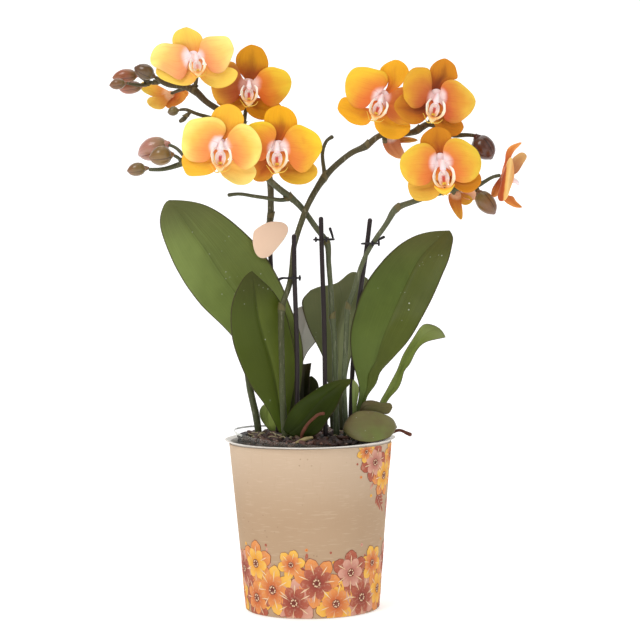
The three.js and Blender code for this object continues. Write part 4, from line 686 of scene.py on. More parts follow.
FLOWERS = [
    dict(c=[194, 58], y=-24, face=[-0.15, -0.12], lip=[197, 64], k=0.72, turn=-8, w=6, D=[[[189, 55], [180, 50], [173, 44], [172.5, 38], [175.5, 32], [181, 29]], [187, 27.8], [[197, 54], [202, 47], [203, 40.5], [201, 35.5], [197, 32], [192, 29.3]]], L=[[[190, 53], [187, 48], [180, 44.5], [171, 43.5], [162, 43], [155, 46.5], [151, 52.5]], [149.8, 58.5], [[189, 61], [187, 69], [184, 76], [179.5, 79], [173, 76.5], [165, 71.5], [157, 67.5], [151.5, 64]]], R=[[[198, 53], [200, 47], [202, 41], [206, 38], [214, 37], [222, 36.8], [228, 38], [232, 43]], [234, 50], [[203, 59], [207, 65], [212, 71.5], [218, 73.5], [224, 71.5], [229, 65], [232.2, 57.5]]], LL=[[[188, 64], [178, 62], [166, 61], [158, 64]], [155.5, 72], [[197, 76], [193, 82.5], [185, 85], [176, 84], [166, 80.7], [159, 77]]], LR=[[[203, 65], [212, 65], [222, 67], [232, 68.5]], [237.6, 73], [[199, 76], [203, 81], [209, 85.5], [217, 88], [225, 87.2], [231.5, 84], [236.3, 79]]]),
    dict(c=[249, 86], y=-14, face=[0.14, -0.15], lip=[249, 92], k=0.8, turn=0, w=6.5, D=[[[246, 81], [240, 73], [236.5, 65], [236.5, 58], [239.5, 52.5], [245, 48]], [251.5, 45.5], [[253, 81], [261, 74], [268, 66.5], [267.5, 59], [265, 53], [261.5, 48.6], [257, 46.6]]], L=[[[244, 80], [239, 70], [234, 63], [226, 63], [217, 70], [212.5, 79]], [211.8, 88], [[241, 92], [238, 98], [232, 103], [225, 104.5], [218, 102.5], [213.6, 96.5]]], R=[[[254, 80], [260, 72], [266, 68], [272, 66.8], [279, 68.3], [285, 70.5], [289, 74.5]], [291.2, 81], [[257, 93], [261, 99], [266, 104], [272, 106], [278, 103.5], [283, 99], [287.5, 93.5], [290.5, 87.5]]], LL=[[[241, 95], [231, 96], [222, 98]], [217, 102.5], [[247, 103], [244, 109.5], [240.5, 110.8], [234, 109], [227, 107.5], [221, 106]]], LR=[[[256, 97], [265, 98], [275, 101]], [281.5, 106.5], [[246, 103], [247, 111], [252, 116], [258, 118.6], [266, 119], [273, 116], [278.5, 112]]]),
    dict(c=[220, 147], y=-40, face=[-0.1, -0.1], lip=[220.5, 155], k=0.95, turn=2, w=6, D=[[[217, 142], [215.5, 132], [212.5, 124], [211.5, 117], [214, 111.5], [218, 107.8], [223, 105.3]], [228, 104.6], [[224, 142], [232, 134], [241, 128], [244, 122], [243, 115.5], [240.3, 110.5], [236, 106.8], [232, 105.1]]], L=[[[219, 142], [224, 135], [226, 128], [223, 122], [217, 118.2], [208, 117.2], [199, 118.3], [190, 120.5], [185, 126], [183, 132.5]], [182, 140], [[211, 151], [210, 157], [206, 161], [198, 162], [190, 160.5], [184.5, 156], [181.5, 148.5]]], R=[[[225, 142], [229, 134], [234, 128], [240, 124.3], [246, 124.6], [252, 128], [257, 133.5], [260.5, 140]], [261.8, 147.5], [[230, 152], [232, 158], [236, 163.5], [241, 168], [247, 169.4], [253, 166.5], [257.5, 162], [260.6, 155]]], LL=[[[211, 156], [200, 151], [189, 151], [182.5, 155]], [181.6, 162], [[217, 168], [210, 173.5], [202, 175.3], [193, 175.8], [187, 174.6], [183.5, 169.5]]], LR=[[[226, 160], [236, 159], [247, 162], [254.5, 167]], [256.2, 172.5], [[219.5, 169], [222, 175], [228, 180], [234, 183.5], [241, 184.8], [248, 183.6], [253, 179.5]]]),
    dict(c=[277, 149], y=-30, face=[0.12, -0.1], lip=[277, 156], k=0.95, turn=0, w=6, D=[[[273, 143], [271, 134], [266, 126], [264.5, 118], [267, 111.5], [272, 107.8]], [279, 105.8], [[281, 143], [290, 133], [297, 125], [296.3, 118], [293.3, 112.5], [289.3, 109], [284.3, 106.8]]], L=[[[274, 144], [276, 136], [274, 127], [267, 122.3], [258, 122.3], [250, 124.8]], [244, 132], [[269, 152], [266, 158], [259, 161], [251, 157], [245.5, 147]]], R=[[[281, 143], [286, 133.5], [291, 127.5], [298, 124.6], [305, 126.8], [312, 130.3], [318, 135], [321.2, 141]], [322, 147.5], [[286, 152], [288, 158.5], [291.5, 165], [296.5, 170.3], [303, 172.3], [309, 168.8], [314.3, 162], [319.5, 154.5]]], LL=[[[268, 154], [260, 158], [254, 166], [252.3, 174]], [254.5, 180], [[277, 163], [275.3, 171], [270.5, 177.5], [265, 181], [259, 181.6]]], LR=[[[285, 161], [297, 159], [309, 161]], [316.8, 168], [[278, 168], [279.5, 175], [284, 180], [291, 183.3], [299, 184.2], [307, 182.8], [313.7, 178.5], [317.2, 173.5]]]),
    dict(c=[381, 98], y=-12, face=[-0.14, -0.12], lip=[378.5, 106.5], k=0.85, turn=19, w=5.5, D=[[[384, 92], [388, 84], [385, 76], [380, 70.8], [383, 66], [388.5, 62.6]], [395, 60.6], [[389, 94], [398, 88], [405, 80], [408.5, 72.5], [407.3, 68.6], [404.3, 64.6], [400.3, 61.8]]], L=[[[380, 93], [386, 86], [388, 79.5], [385, 73], [377, 70], [369, 67.8], [361, 67], [354, 68.3], [349, 73], [346, 79.5]], [345.3, 87], [[370, 103], [366, 107], [360, 108], [353, 105.8], [348.7, 101], [346, 94.5]]], R=[[[387, 95], [395, 90], [403, 87.5], [411, 90], [416, 97]], [418, 105], [[385, 108], [388, 116.5], [394, 122], [401, 125], [408, 124], [414, 117.5]]], LL=[[[370, 108], [358, 103], [348, 97], [342.5, 97.5], [339, 102]], [337.8, 107.5], [[371, 119.5], [368, 123.5], [362, 124.9], [355, 123.8], [349, 121], [343, 115.5], [339, 111.2]]], LR=[[[385, 113], [395, 114], [405, 118]], [410.2, 126], [[374.5, 118], [375.5, 127], [380, 133], [386, 137.3], [393, 139], [400, 138.3], [406, 134.8], [409.5, 131]]]),
    dict(c=[436, 98], y=-22, face=[0.1, -0.1], lip=[435, 107], k=0.9, turn=13, w=5.5, D=[[[432, 92], [430, 84], [429.5, 76], [430, 69], [434, 63.5], [439, 60.3]], [445, 59], [[440, 92], [444, 85], [451, 80], [457, 78.5], [456.7, 71.5], [454.8, 65.8], [450.8, 61.8]]], L=[[[432, 92], [432, 84], [431, 76], [429, 69.8], [421, 67.8], [413, 68.8], [408, 73], [404.3, 79.5], [402.8, 86.5]], [403.5, 93.5], [[427, 101], [422, 106], [417, 108.2], [412, 107.8], [407.8, 103.8], [404.3, 99]]], R=[[[440, 94], [441, 88], [444, 82.5], [450, 80], [457, 80.8], [463, 84.8], [469, 89.8], [473.4, 94.5]], [475.8, 101], [[444, 109], [444, 117], [449, 121.7], [455, 122.8], [461, 121], [466, 117.3], [470.5, 113.3], [474.3, 107.5]]], LL=[[[426, 103], [415, 98], [407, 95], [402, 95], [398, 98.3], [395, 102]], [394.3, 107.5], [[427, 117], [421, 122.5], [414, 124.3], [408, 123.3], [402, 119.2], [397.5, 114]]], LR=[[[443, 113], [452, 115], [461, 120]], [464, 126.5], [[433, 120], [437, 128], [444, 133.3], [451, 135.7], [457, 135], [461.7, 131.7]]]),
    dict(c=[441, 163], y=-28, face=[0.1, -0.12], lip=[443.5, 175], k=1, turn=-5, w=10, D=[[[438, 158], [434, 150], [428, 145.5], [420.5, 144.3], [421, 138], [425, 132.8], [430, 129.3]], [436.5, 127.5], [[444, 158], [443.5, 150], [446.5, 142.5], [451, 138.5], [450, 133.5], [446.5, 130], [441.5, 128]]], L=[[[437, 161], [436, 153.5], [433, 148], [428, 144.3], [420, 143.6], [412, 146.8], [406.5, 151], [401.8, 156]], [399.8, 163.5], [[433, 173], [431, 180], [426, 184.3], [419, 185.7], [412, 184.7], [407.3, 181.3], [402.8, 176], [400.3, 170]]], R=[[[443, 160], [443, 152], [445, 144.5], [450, 139.3], [457, 138.3], [464, 140.3], [470.5, 144.3], [477, 149.8], [480.3, 156]], [481.5, 163], [[451, 172], [453, 178.3], [459, 181.7], [465, 182.5], [472, 180.5], [477.3, 176], [480.5, 170]]], LL=[[[433, 177], [424, 180], [414, 180], [408.6, 182]], [408.8, 190], [[442, 190], [437, 196.7], [430, 200.2], [422, 201], [415, 199.7], [410.8, 195.3]]], LR=[[[452, 175], [463, 176], [473, 174], [479.3, 173]], [481.6, 178.5], [[452, 184], [456.5, 188], [461, 190.8], [467, 192.4], [473, 191.2], [478, 187.3], [481.3, 183]]]),
]
TURNED = {
    "flower_8_side": [
        [504.5, 176, -7, 2.6],
        [[[502, 172], [505, 161], [506, 153], [509, 147.3], [514, 144.3]], [521.5, 142.8], [[508.5, 168], [511, 157], [515, 150], [518.7, 146.3]], -6, -5, 1.2, 0.3],
        [[[506, 166], [511, 157.3], [513.3, 165]], [514, 176], [[501, 187], [498, 195], [499.5, 200.7], [504.5, 200.3], [509, 192]], -8, -30, 0.5, 1.4],
        [[[507, 170], [512, 159.5], [517.5, 154.3], [523, 152.6]], [526.5, 156], [[510, 175], [515, 174], [520.5, 168], [524.7, 161]], -6, 17, 0.6, -1.2],
        [[[499.5, 178], [495, 184], [492, 190]], [492.5, 197], [[502, 184], [500, 191], [497, 196]], -6.5, -1, 0.6, 0.4],
        [[[505, 190], [508.5, 195.5], [512.5, 196.3], [516, 201]], [521.8, 207.3], [[502, 192], [505, 201.5], [510, 205], [515.5, 207.3]], -6.5, 8, 0.8, 0.3],
    ],
    "flower_9_hidden": [
        [390, 137, 7, 2.6],
        [[[383, 139], [383.7, 146], [388, 153], [394, 157]], [400.5, 158.3], [[399, 139], [401.3, 146], [404, 153]], 7, 10, 1, -0.8],
        [[[395, 136.7], [404, 137], [411.5, 137.7]], [417.6, 140.2], [[395, 142.3], [404, 142.8], [411.5, 142.3]], 8, 12, 0.6, 0.3],
        [[[384, 134], [383, 126], [387, 119.5]], [393, 118], [[396, 133], [400, 127], [398.5, 121]], 7.5, 14, 1.2, -0.8],
    ],
    "flower_10_hidden": [
        [457, 192, -2, 2.6],
        [[[449.5, 194], [449.2, 202], [453, 210.3], [457.5, 216.7]], [461, 219.5], [[460, 193], [461.3, 202], [462.5, 212]], -2, -2, 1, -0.8],
        [[[459, 198], [461, 203], [465, 205]], [472.5, 199.8], [[462, 193], [468.5, 195.3]], -1, 3, 0.8, 0.3],
        [[[461, 189], [468, 189], [474.5, 190.3]], [478.3, 195], [[462, 197], [469, 199.7], [475.5, 199.3]], 0, 5, 1, -0.6],
        [[[452, 189], [449, 182]], [455, 175], [[460, 189], [462, 181]], -1.5, 7, 1, -0.8],
    ],
    "flower_11_hidden": [
        [171, 94.5, 8.5, 2.6],
        [[[163, 88], [153, 83], [145, 81.4]], [140, 84.3], [[164, 95.5], [157, 97.3], [150, 95.3], [143.3, 91.5]], 8, 8, 1, -0.8],
        [[[163, 95], [156, 96.8], [149.3, 97.7], [147, 101.7]], [149.5, 105.5], [[168, 102], [163, 108.5], [156, 109]], 8, 6, 1, -0.8],
        [[[167, 95], [164, 101]], [168, 107.9], [[180, 92], [186.5, 94.5], [184, 100.5], [176, 105.8]], 9, 8, 1, -0.6],
        [[[176, 93], [180, 89.5]], [188.5, 93], [[178, 97], [184.5, 98]], 10, 12, 0.8, -0.3],
    ],
}
LEAVES = {
    "leaf_left_large": ([
        [284, 430, 288, 432, 292, 430, -5, -4, -5], [279, 401, 288, 402, 299, 399, -5, -3, -6], [262, 372, 281, 372, 303, 360, -4, -1, -6],
        [240, 345, 268, 344, 300, 332, -3, 1, -4], [222, 325, 252, 319, 291, 308, -2, 3, -2], [203, 307, 237, 295, 281, 284, -7, 2, 1],
        [188, 288, 222, 275, 266, 257, -12, -2, 3], [175, 266, 207, 252, 247, 235, -18, -7, 1], [164, 240, 191, 230, 226, 217, -24, -14, -6],
        [160, 221, 180, 214, 206, 205.5, -29, -21, -14], [163, 207, 173, 206, 188, 201, -32, -28, -22],
    ], [169, 200, -31], 1.7),
    "leaf_front_left": ([
        [279, 432, 282, 433, 286, 432, -13, -12, -12], [265, 405, 279, 406, 291, 404, -16, -12, -11],
        [253, 389, 276, 385, 295, 380, -17, -12, -10], [243, 370, 271, 362, 295, 355, -18, -12, -10],
        [235, 349, 265, 342, 291, 333, -19, -13, -10], [231, 326, 259, 320, 285, 312, -22, -16, -12.5],
        [232, 305, 256, 301, 275, 294, -26, -20, -16], [239, 286, 254, 286, 265, 283, -29, -25, -22],
    ], [252, 271, -29], 1.7),
    "leaf_back_left": ([
        [291, 427, 294, 428, 297, 427, 21, 21, 21], [290, 397, 294, 398, 298, 394, 22, 22, 22], [289, 370, 297, 370, 304, 359, 25, 27, 25],
        [288, 345, 300, 345, 315, 342, 30, 33, 29], [291, 322, 304, 326, 318, 326, 36, 39, 35],
    ], [303, 306, 42], 1.7),
    "leaf_back_broad": ([
        [330.5, 428, 337, 429, 345, 428, 14, 14, 14], [330, 403, 337.5, 404, 346, 403, 14, 14, 14], [330, 388, 338, 389, 346.5, 388, 14, 14, 14],
        [326.5, 378.5, 336, 379, 346.5, 378, 14, 15, 14], [324, 360, 337, 361, 350, 360, 14, 17, 14], [316, 342, 336, 343, 357, 340, 16, 21, 17],
        [307, 323, 339, 323, 364, 318, 19, 25, 20], [302, 306, 342, 306, 371, 299, 21, 28, 23],
        [304.5, 296.5, 21, 321, 296, 26, 341, 291, 28, 356, 285, 25, 371.5, 287, 24],
        [310.5, 290.2, 22, 322, 286.3, 26, 338, 282.5, 29, 352, 272.2, 26, 367.5, 278.5, 25],
    ], None, 1.7),
    "leaf_right_large": ([
        [357, 433, 361, 434, 364, 433, -4, -4, -4], [355.5, 413, 360, 414, 365, 412, -5, -4, -4], [358.5, 398, 362.5, 399, 367.5, 396, -6, -4, -4],
        [359, 385, 367, 386, 376, 383, -6, -3, -4], [356.5, 375, 368, 376, 379, 374, -6, -2.5, -4], [353, 363, 374, 364, 389, 362, -6, -2, -4],
        [350.5, 346, 380, 346, 406, 344, -7, -2, -4], [351, 328, 388, 325, 420, 322, -7, -2, -5], [357, 306, 397, 304, 431, 301, -7, 1, -3],
        [367, 283, 407, 282, 440, 280, -5.5, 5, 1], [381, 263, 418, 261, 448, 262, -1, 9, 5], [398, 246, 431, 246, 452, 246, 4, 13, 9],
        [420, 234, 443, 235, 453, 237.5, 10, 15, 12],
    ], [449.5, 230.5, 16], 1.7),
    "leaf_right_curled": ([
        [371, 427, 374, 428, 378, 427, 5, 5, 4], [377, 411, 380, 412, 384, 410, 5, 5, 4], [380.5, 401, 383.5, 402, 388, 400, 4, 5, 3],
        [385, 393, 389.5, 394, 395, 392, 3, 5, 2], [389.5, 384.5, 395, 385, 400, 385, 2, 4.5, 1],
        [393.5, 377, 398, 377.5, 402.5, 377.5, 1, 3.5, 0], [397.5, 369, 401, 370, 404.5, 371, -1, 2, -2],
        [401, 359.5, 405, 362.5, 409.5, 364.5, -3, 0, -5], [406, 349.5, 410, 353, 415, 353.5, -5, -2, -8],
        [411.5, 341, 416, 344.5, 421.5, 345, -7, -4, -10], [417.5, 331.5, 423, 336.5, 429, 341, -9, -6.5, -12],
        [424, 324.5, 430, 331, 436.5, 339.2, -11, -9, -14], [432, 324.8, 436.5, 330.5, 441.5, 338.2, -13, -11.5, -15],
    ], [445.5, 337.4, -15], 1.5),
    "leaf_front_centre": ([
        [283, 429, 289, 434, 298, 438, -28, -30, -31], [287, 417, 299, 425, 315, 435, -28, -31, -33],
        [296, 404, 310, 412, 327, 421, -28, -31, -33], [308, 395, 320, 401, 336, 408, -28, -31, -33],
        [322, 386, 331, 391, 342, 394, -27, -30, -32], [337, 380.5, 342, 384, 348, 386, -27, -29, -30],
    ], [351, 379, -28], 1.7),
    "leaf_rim_round": ([
        [344, 426.5, 343.5, 429, 344.5, 431.8, -23, -24, -24.5], [347, 419.8, 346.5, 427, 348, 435.5, -23, -27, -30],
        [353, 413.8, 352.5, 427, 355, 439.5, -22, -29, -34], [361, 411, 361.5, 427, 363, 441.6, -21, -30, -36],
        [371, 411, 371.5, 427, 372, 442, -20, -29, -36], [380, 412.7, 380.5, 427.5, 380, 440.3, -18.5, -27, -34.5],
        [388, 416, 388, 427, 388, 438, -17.5, -25, -32.5], [393.5, 420, 394, 427.5, 393, 433.3, -17, -22, -26],
    ], [397, 427, -20], 2),
    "leaf_tucked_right": ([
        [359, 427, 361, 430, 364, 431, -10.5, -11.5, -12], [364, 402, 365, 407, 367, 412, -11, -12, -13],
        [373, 400.5, 374, 406.5, 375, 412, -10, -12, -13], [381, 402.5, 382, 408, 383, 413.5, -9, -11, -12.5],
        [389, 403, 389, 408, 388.5, 413.5, -9, -10, -11.5],
    ], [392.5, 407.5, -9], 1.7),
    "leaf_small_left": ([
        [269, 430, 272, 431.5, 276, 430, 14, 14, 14], [261.5, 420, 268, 421, 279, 419, 14, 15, 14], [260, 410, 268, 410, 279, 409, 14, 15, 14],
    ], [269, 402, 14], 1.7),
    "leaf_small_centre": ([
        [303, 430, 307, 431, 311, 430, 9, 9, 9], [301.5, 406, 309, 407, 317, 405, 9, 10, 9], [301.5, 391, 310, 391, 318.6, 389, 9, 11, 9],
        [304, 381.5, 311, 381, 316.8, 381.3, 9, 11, 9],
    ], [311.5, 376, 9], 1.7),
    "leaf_cut_stub": ([
        [300, 430, 303, 431, 307, 430, 3, 3, 3], [299.5, 400, 304, 400, 309, 399, 2, 4, 2], [300, 381, 304.5, 381, 309.3, 379, 2, 4, 2],
        [300.5, 364.2, 306, 364, 311.5, 362.8, 2, 4, 2],
    ], None, 1.7),
    "leaf_sheath_right": ([
        [353, 433, 354.5, 434, 356, 433, -10.5, -10.5, -10], [352.5, 410, 354, 411, 356, 410, -11, -11, -10],
        [352, 397, 354.5, 398, 358, 397, -11.5, -11, -10.5], [352, 387, 355, 388, 359, 389, -11.5, -11, -10.5],
    ], [353, 379, -12], 1.2),
}
STAKES = {
    "stake_left": [[294, 236, -21.3], [294.5, 275, -21], [296, 318, -18.5], [297, 358, -16.5], [296.5, 435, -14.5]],
    "stake_centre": [[321, 218.5, -17.5], [322, 259, -17.5], [324, 318, -17.5], [325, 384, -17.5], [325.5, 436, -17.5]],
    "stake_right": [[370, 220, -9.6], [366.5, 249, -9.2], [361, 287, -5], [356, 325, 1], [353, 362, 2.5], [350, 432, 2.5]],
    "stake_label": [[270, 238, 1.9], [270.2, 250, 3.6], [270.8, 264, 8], [272, 292, 9.5], [274.5, 340, 8.5], [277, 390, 7], [278, 431, 6]],
}
CLIPS = {
    "clip_left": [[292.8, 278, -19], 118, 5.6, 4.2, [10, 279, 279.5, -17]],
    "clip_centre": [[324, 239.5, -14.6], 72, 6.8, 6, [3, 330, 228.5, -17]],
    "clip_right": [[370.3, 243.5, -11.4], 129, 6, 4.6, [4, 384, 237, -7.2]],
}
ROOTS = {
    "root_red_arc": [[301.5, 439, -35, 0.85], [302, 434, -36, 0.9], [304.5, 429, -36.5, 0.95], [309, 422.5, -37, 0.95], [314, 418, -37.5, 0.9], [318.5, 414.5, -37.5, 0.9], [323.5, 413.5, -37, 1]],
    "root_red_right": [[393.5, 432, 2, 1], [397, 430.5, 1, 1], [401, 430.5, 0, 0.95], [405.5, 432.5, -2, 1], [410.3, 434.6, -4, 1.15]],
    "root_tan": [[292.5, 444.3, -42, 0.6], [297, 442.3, -42, 1], [302, 440.2, -41.5, 1.2], [307, 438.7, -41, 1.25], [312, 437.6, -40, 0.9]],
}
BUDS = {
    "bud_tip_upper": [137.5, 75, -3, 112.3, 77.5, -3, 4.3],
    "bud_tip_lower": [141.8, 86, 3, 119.5, 89.5, 7, 3.9],
    "bud_tip_small": [125.5, 83, -14, 109.3, 85.3, -14, 3.3],
    "bud_round_brown": [154, 76.5, -12.5, 134.5, 67, -14, 4.9],
    "bud_tiny": [178.7, 110.2, -8, 167.4, 112.3, -8, 2.9],
    "bud_pink": [168, 143.8, -10, 138, 154.5, -5, 7],
    "bud_olive": [172.3, 154.5, -23.5, 149, 157.5, -25, 5.9],
    "bud_low_left": [146, 168.3, -15, 127, 170.7, -15, 4.1],
    "bud_maroon": [476.2, 136.3, -4.5, 491.5, 159.5, -3, 6.9],
    "bud_drooping": [478.3, 191.5, -9, 494.5, 214.5, -8, 5.6],
}


# ------------------------------------------------------------------ pots and bark
SLEEVE_H, SLEEVE_R0, SLEEVE_R1, CARD_T, SLEEVE_LIFT = 102.0, 40.8, 49.8, 0.6, 0.4
LINER_T, LIP_R, LIP_Z, LIP_DROOP = 0.8, 52.4, 104.9, 1.6
GROW_TOP, GROW_LEAN, GROW_R1, GROW_R0, GROW_Z0, GROW_T = 106.0, (-0.09, 0.03), 47.0, 36.5, 2.6, 0.8
BARK_TOP, GAP = 105.2, 0.35


def sleeve_r(z):
    return SLEEVE_R0 + (SLEEVE_R1 - SLEEVE_R0) * z / SLEEVE_H


def grow_r(z):
    return GROW_R0 + (GROW_R1 - GROW_R0) * (z - GROW_Z0) / (GROW_TOP - GROW_Z0)


def lathe(shape, prof, sides=168, m=0, bend=None, closed=True):
    """Ring of a closed profile of (radius, height); bend moves the points."""
    prof = np.array(prof, float)
    k = len(prof)
    w = 2 * np.pi * np.arange(sides) / sides
    V = np.stack([prof[None, :, 0] * np.sin(w)[:, None], -prof[None, :, 0] * np.cos(w)[:, None], np.repeat(prof[None, :, 1], sides, 0)], 2)
    if bend is not None:
        V = bend(V, w)
    uv = np.stack([np.repeat((w / (2 * np.pi))[:, None], k, 1), np.repeat(np.linspace(0, 1, k)[None], sides, 0)], 2)
    f = []
    for i in range(sides):
        j = (i + 1) % sides
        for a in range(k if closed else k - 1):
            b = (a + 1) % k
            f.append((i * k + a, j * k + a, j * k + b, i * k + b))
    shape.add(V, f, uv, m)
    return sides * k


def smooth_prof(pts, r, n=4):
    """Rounds each corner of a closed profile by radius r."""
    pts = np.array(pts, float)
    out = []
    k = len(pts)
    for i in range(k):
        a, b, c = pts[i - 1], pts[i], pts[(i + 1) % k]
        la, lc = np.linalg.norm(a - b), np.linalg.norm(c - b)
        q = min(r, la * 0.45, lc * 0.45)
        p0, p1 = b + (a - b) / la * q, b + (c - b) / lc * q
        for t in np.linspace(0, 1, n):
            out.append((1 - t) ** 2 * p0 + 2 * t * (1 - t) * b + t * t * p1)
    return out


def subdivide(pts, step):
    """Adds points along the long sides of a closed profile."""
    out = []
    k = len(pts)
    for i in range(k):
        a, b = np.array(pts[i], float), np.array(pts[(i + 1) % k], float)
        n = max(1, int(np.linalg.norm(b - a) / step))
        for q in range(n):
            out.append(a + (b - a) * q / n)
    return out


# card cover: one wrapped sheet with a lap at the back
s = Shape()
prof = subdivide(smooth_prof([(sleeve_r(SLEEVE_LIFT), SLEEVE_LIFT), (sleeve_r(SLEEVE_H), SLEEVE_H), (sleeve_r(SLEEVE_H) - CARD_T, SLEEVE_H), (sleeve_r(SLEEVE_LIFT) - CARD_T, SLEEVE_LIFT)], 0.12, 3), 6.0)


def lap(V, w):
    # the last strip of the wrap lies over the first one, at the back
    rise = np.clip((w - 3.02) / 0.004, 0, 1) * np.clip((3.36 - w) / 0.10, 0, 1) * 0.35
    d = unit(V * [1, 1, 0])
    outer = (np.hypot(V[..., 0], V[..., 1]) > sleeve_r(V[..., 2]) - 0.3)
    V = V + d * (rise[:, None] * outer)[..., None]
    wave = bumps(np.stack([w * 12, w * 0, w * 0], 1), 5.0, 2.0)
    return V + d * (0.12 * wave[:, None] * np.clip(V[..., 2] / SLEEVE_H, 0, 1) * outer)[..., None] * 0.6


lathe(s, prof, 240, bend=lap)
COVER = s.build("cover_kraft", [KRAFT], node="card_cover", angle=50)

# white liner with a rolled lip
s = Shape()
out_r = lambda z: sleeve_r(z) - CARD_T - GAP
inn_r = lambda z: out_r(z) - LINER_T
prof = [(out_r(0) - 0.8, 0), (out_r(1), 1), (out_r(101.6), 101.6), (SLEEVE_R1 - 0.3, SLEEVE_H + 1.25), (LIP_R, LIP_Z - 0.7), (LIP_R + 0.0, LIP_Z), (LIP_R - 0.7, LIP_Z),
        (inn_r(101.4) + 0.9, SLEEVE_H + 1.7), (inn_r(101), 101), (inn_r(1.6), 1.6), (0.01, 1.6), (0.01, 0)]
prof = subdivide(smooth_prof(prof[:10], 0.35, 3) + [np.array(prof[10]), np.array(prof[11])], 8.0)


def lip_sway(V, w):
    up = np.clip((V[..., 2] - 103.0) / 2.2, 0, 1)
    sway = 0.22 * np.sin(2 * w + 0.7)[:, None] + 0.10 * np.sin(5 * w + 2.0)[:, None]
    V = V.copy()
    V[..., 2] += np.minimum(sway, 0.1) * up
    # the lip droops a little toward the front
    V[..., 2] -= LIP_DROOP * (np.maximum(0, np.cos(w)) ** 2)[:, None] * np.clip((V[..., 2] - SLEEVE_H - 0.8) / 1.6, 0, 1)
    return V


lathe(s, prof, 200, bend=lip_sway)
s.build("liner_white", [WHITE], node="pot_liner", angle=60)

# clear grow pot, its rim slanted
s = Shape()
prof = [(0.01, GROW_Z0), (GROW_R0, GROW_Z0), (grow_r(80), 80), (grow_r(99), 99), (grow_r(GROW_TOP) - 0.1, GROW_TOP - 1.2), (grow_r(GROW_TOP), GROW_TOP), (grow_r(GROW_TOP) - GROW_T, GROW_TOP),
        (grow_r(99) - GROW_T, 99), (grow_r(80) - GROW_T, 80), (grow_r(4) - GROW_T, 4), (0.01, 4)]


def lean(V, w):
    V = V.copy()
    k = np.clip((V[..., 2] - 99.5) / 2.0, 0, 1)
    V[..., 2] += k * (GROW_LEAN[0] * V[..., 0] + GROW_LEAN[1] * V[..., 1])
    return V


prof = subdivide(prof, 12.0)
lathe(s, prof, 160, bend=lean)
# painted reflection: only the left-back stretch of the top band gets the painted glint material
band = [0.5 * (prof[q][1] + prof[(q + 1) % len(prof)][1]) > GROW_TOP - 0.9 for q in range(len(prof))]
allv = np.vstack(s.v)
s.m = [1 if band[q % len(prof)] and allv[list(s.f[q])].mean(0) @ np.array([1.0, -0.55, 0.0]) < -28 else 0 for q in range(len(s.m))]
s.build("grow_pot_clear", [CLEAR, CLEAR_RIM_GLINT], node="grow_pot", angle=50)


def bark_top(x, y):
    r = np.hypot(x, y)
    heap = 1.2 * np.cos(np.pi * r / 100) + 0.022 * y
    return BARK_TOP + heap + 0.8 * np.sin(0.31 * x + 1.1) * np.cos(0.27 * y - 0.6) + 0.5 * np.sin(0.13 * (x + 2.1 * y))


def turn(ax, ay, az):
    return np.array(Matrix.Rotation(az, 3, "Z") @ Matrix.Rotation(ay, 3, "Y") @ Matrix.Rotation(ax, 3, "X"))


s = Shape()
R_BARK = grow_r(100) - GROW_T - 0.7
n_r, n_w = 26, 120
V, F = [], []
w = 2 * np.pi * np.arange(n_w) / n_w
zs = 4 + GAP
V += [[(grow_r(zs) - GROW_T - 0.6) * math.cos(a), (grow_r(zs) - GROW_T - 0.6) * math.sin(a), zs] for a in w]
for i in range(n_r, 0, -1):
    r = R_BARK * i / n_r
    for a in w:
        x, y = r * math.cos(a), r * math.sin(a)
        V.append([x, y, bark_top(x, y) - (2.2 if i == n_r else 1.4) + 0.9 * noise.noise(Vector((x / 3.5, y / 3.5, 2.0)))])
V.append([0, 0, bark_top(0, 0) - 1.4])
F = grid_faces(n_r + 1, n_w, wrap=True)
last = n_r * n_w
F += [(last + j, last + (j + 1) % n_w, len(V) - 1) for j in range(n_w)]
V.append([0, 0, zs])
F += [((j + 1) % n_w, j, len(V) - 1) for j in range(n_w)]
s.add(V, F, np.c_[np.full(len(V), 0.3), np.full(len(V), 0.5)])
# chips: coarse ones lie flat or on edge, fine ones fill between them
spots = []
for i in range(1900):
    big = i < 420
    r = (R_BARK - (2.2 if big else 0.9)) * math.sqrt(random.random())
    a = random.uniform(0, 2 * math.pi)
    x, y = r * math.cos(a), r * math.sin(a)
    need = 3.6 if big else 1.5
    if any((x - p) ** 2 + (y - q) ** 2 < need * need for p, q in spots[-900:] if True) and random.random() < 0.85:
        continue
    spots.append((x, y))
    if big:
        rad = (random.uniform(2.0, 4.8), random.uniform(1.4, 3.0), random.uniform(0.8, 1.9))
        rot = turn(random.uniform(-0.8, 0.8), random.uniform(-0.8, 0.8), random.uniform(0, 6.28))
        lift = 0.1
    else:
        q = random.uniform(0.6, 1.5)
        rad = (q * 1.5, q, q * 0.6)
        rot = turn(random.uniform(-1.4, 1.4), random.uniform(-1, 1), random.uniform(0, 6.28))
        lift = -0.5
    top = float(bark_top(x, y))
    blob(s, np.array([x, y, top + lift]), rad, random.random() * 50, 0.35, 0, rot, 5 if big else 4, 2.4)
BARKS = s.build("bark_chips", [BARK], node="bark_mix", angle=35)

# pale root hairs and fibres lying over the bark
s = Shape()
for i in range(26):
    a, r = random.uniform(0, 6.28), 40 * math.sqrt(random.random())
    p = np.array([r * math.cos(a), r * math.sin(a), 0])
    d = random.uniform(0, 6.28)
    pts = []
    for q in range(6):
        p = p + np.array([math.cos(d), math.sin(d), 0]) * random.uniform(1.5, 3.0)
        d += random.uniform(-0.8, 0.8)
        if math.hypot(p[0], p[1]) > 43:
            break
        pts.append([p[0], p[1], float(bark_top(p[0], p[1])) + random.uniform(0.6, 2.4)])
    if len(pts) > 3:
        path = spline(pts, 24)
        tube(s, path, np.full(len(path), random.uniform(0.18, 0.42)), 6)
s.build("root_wisps", [WISP])


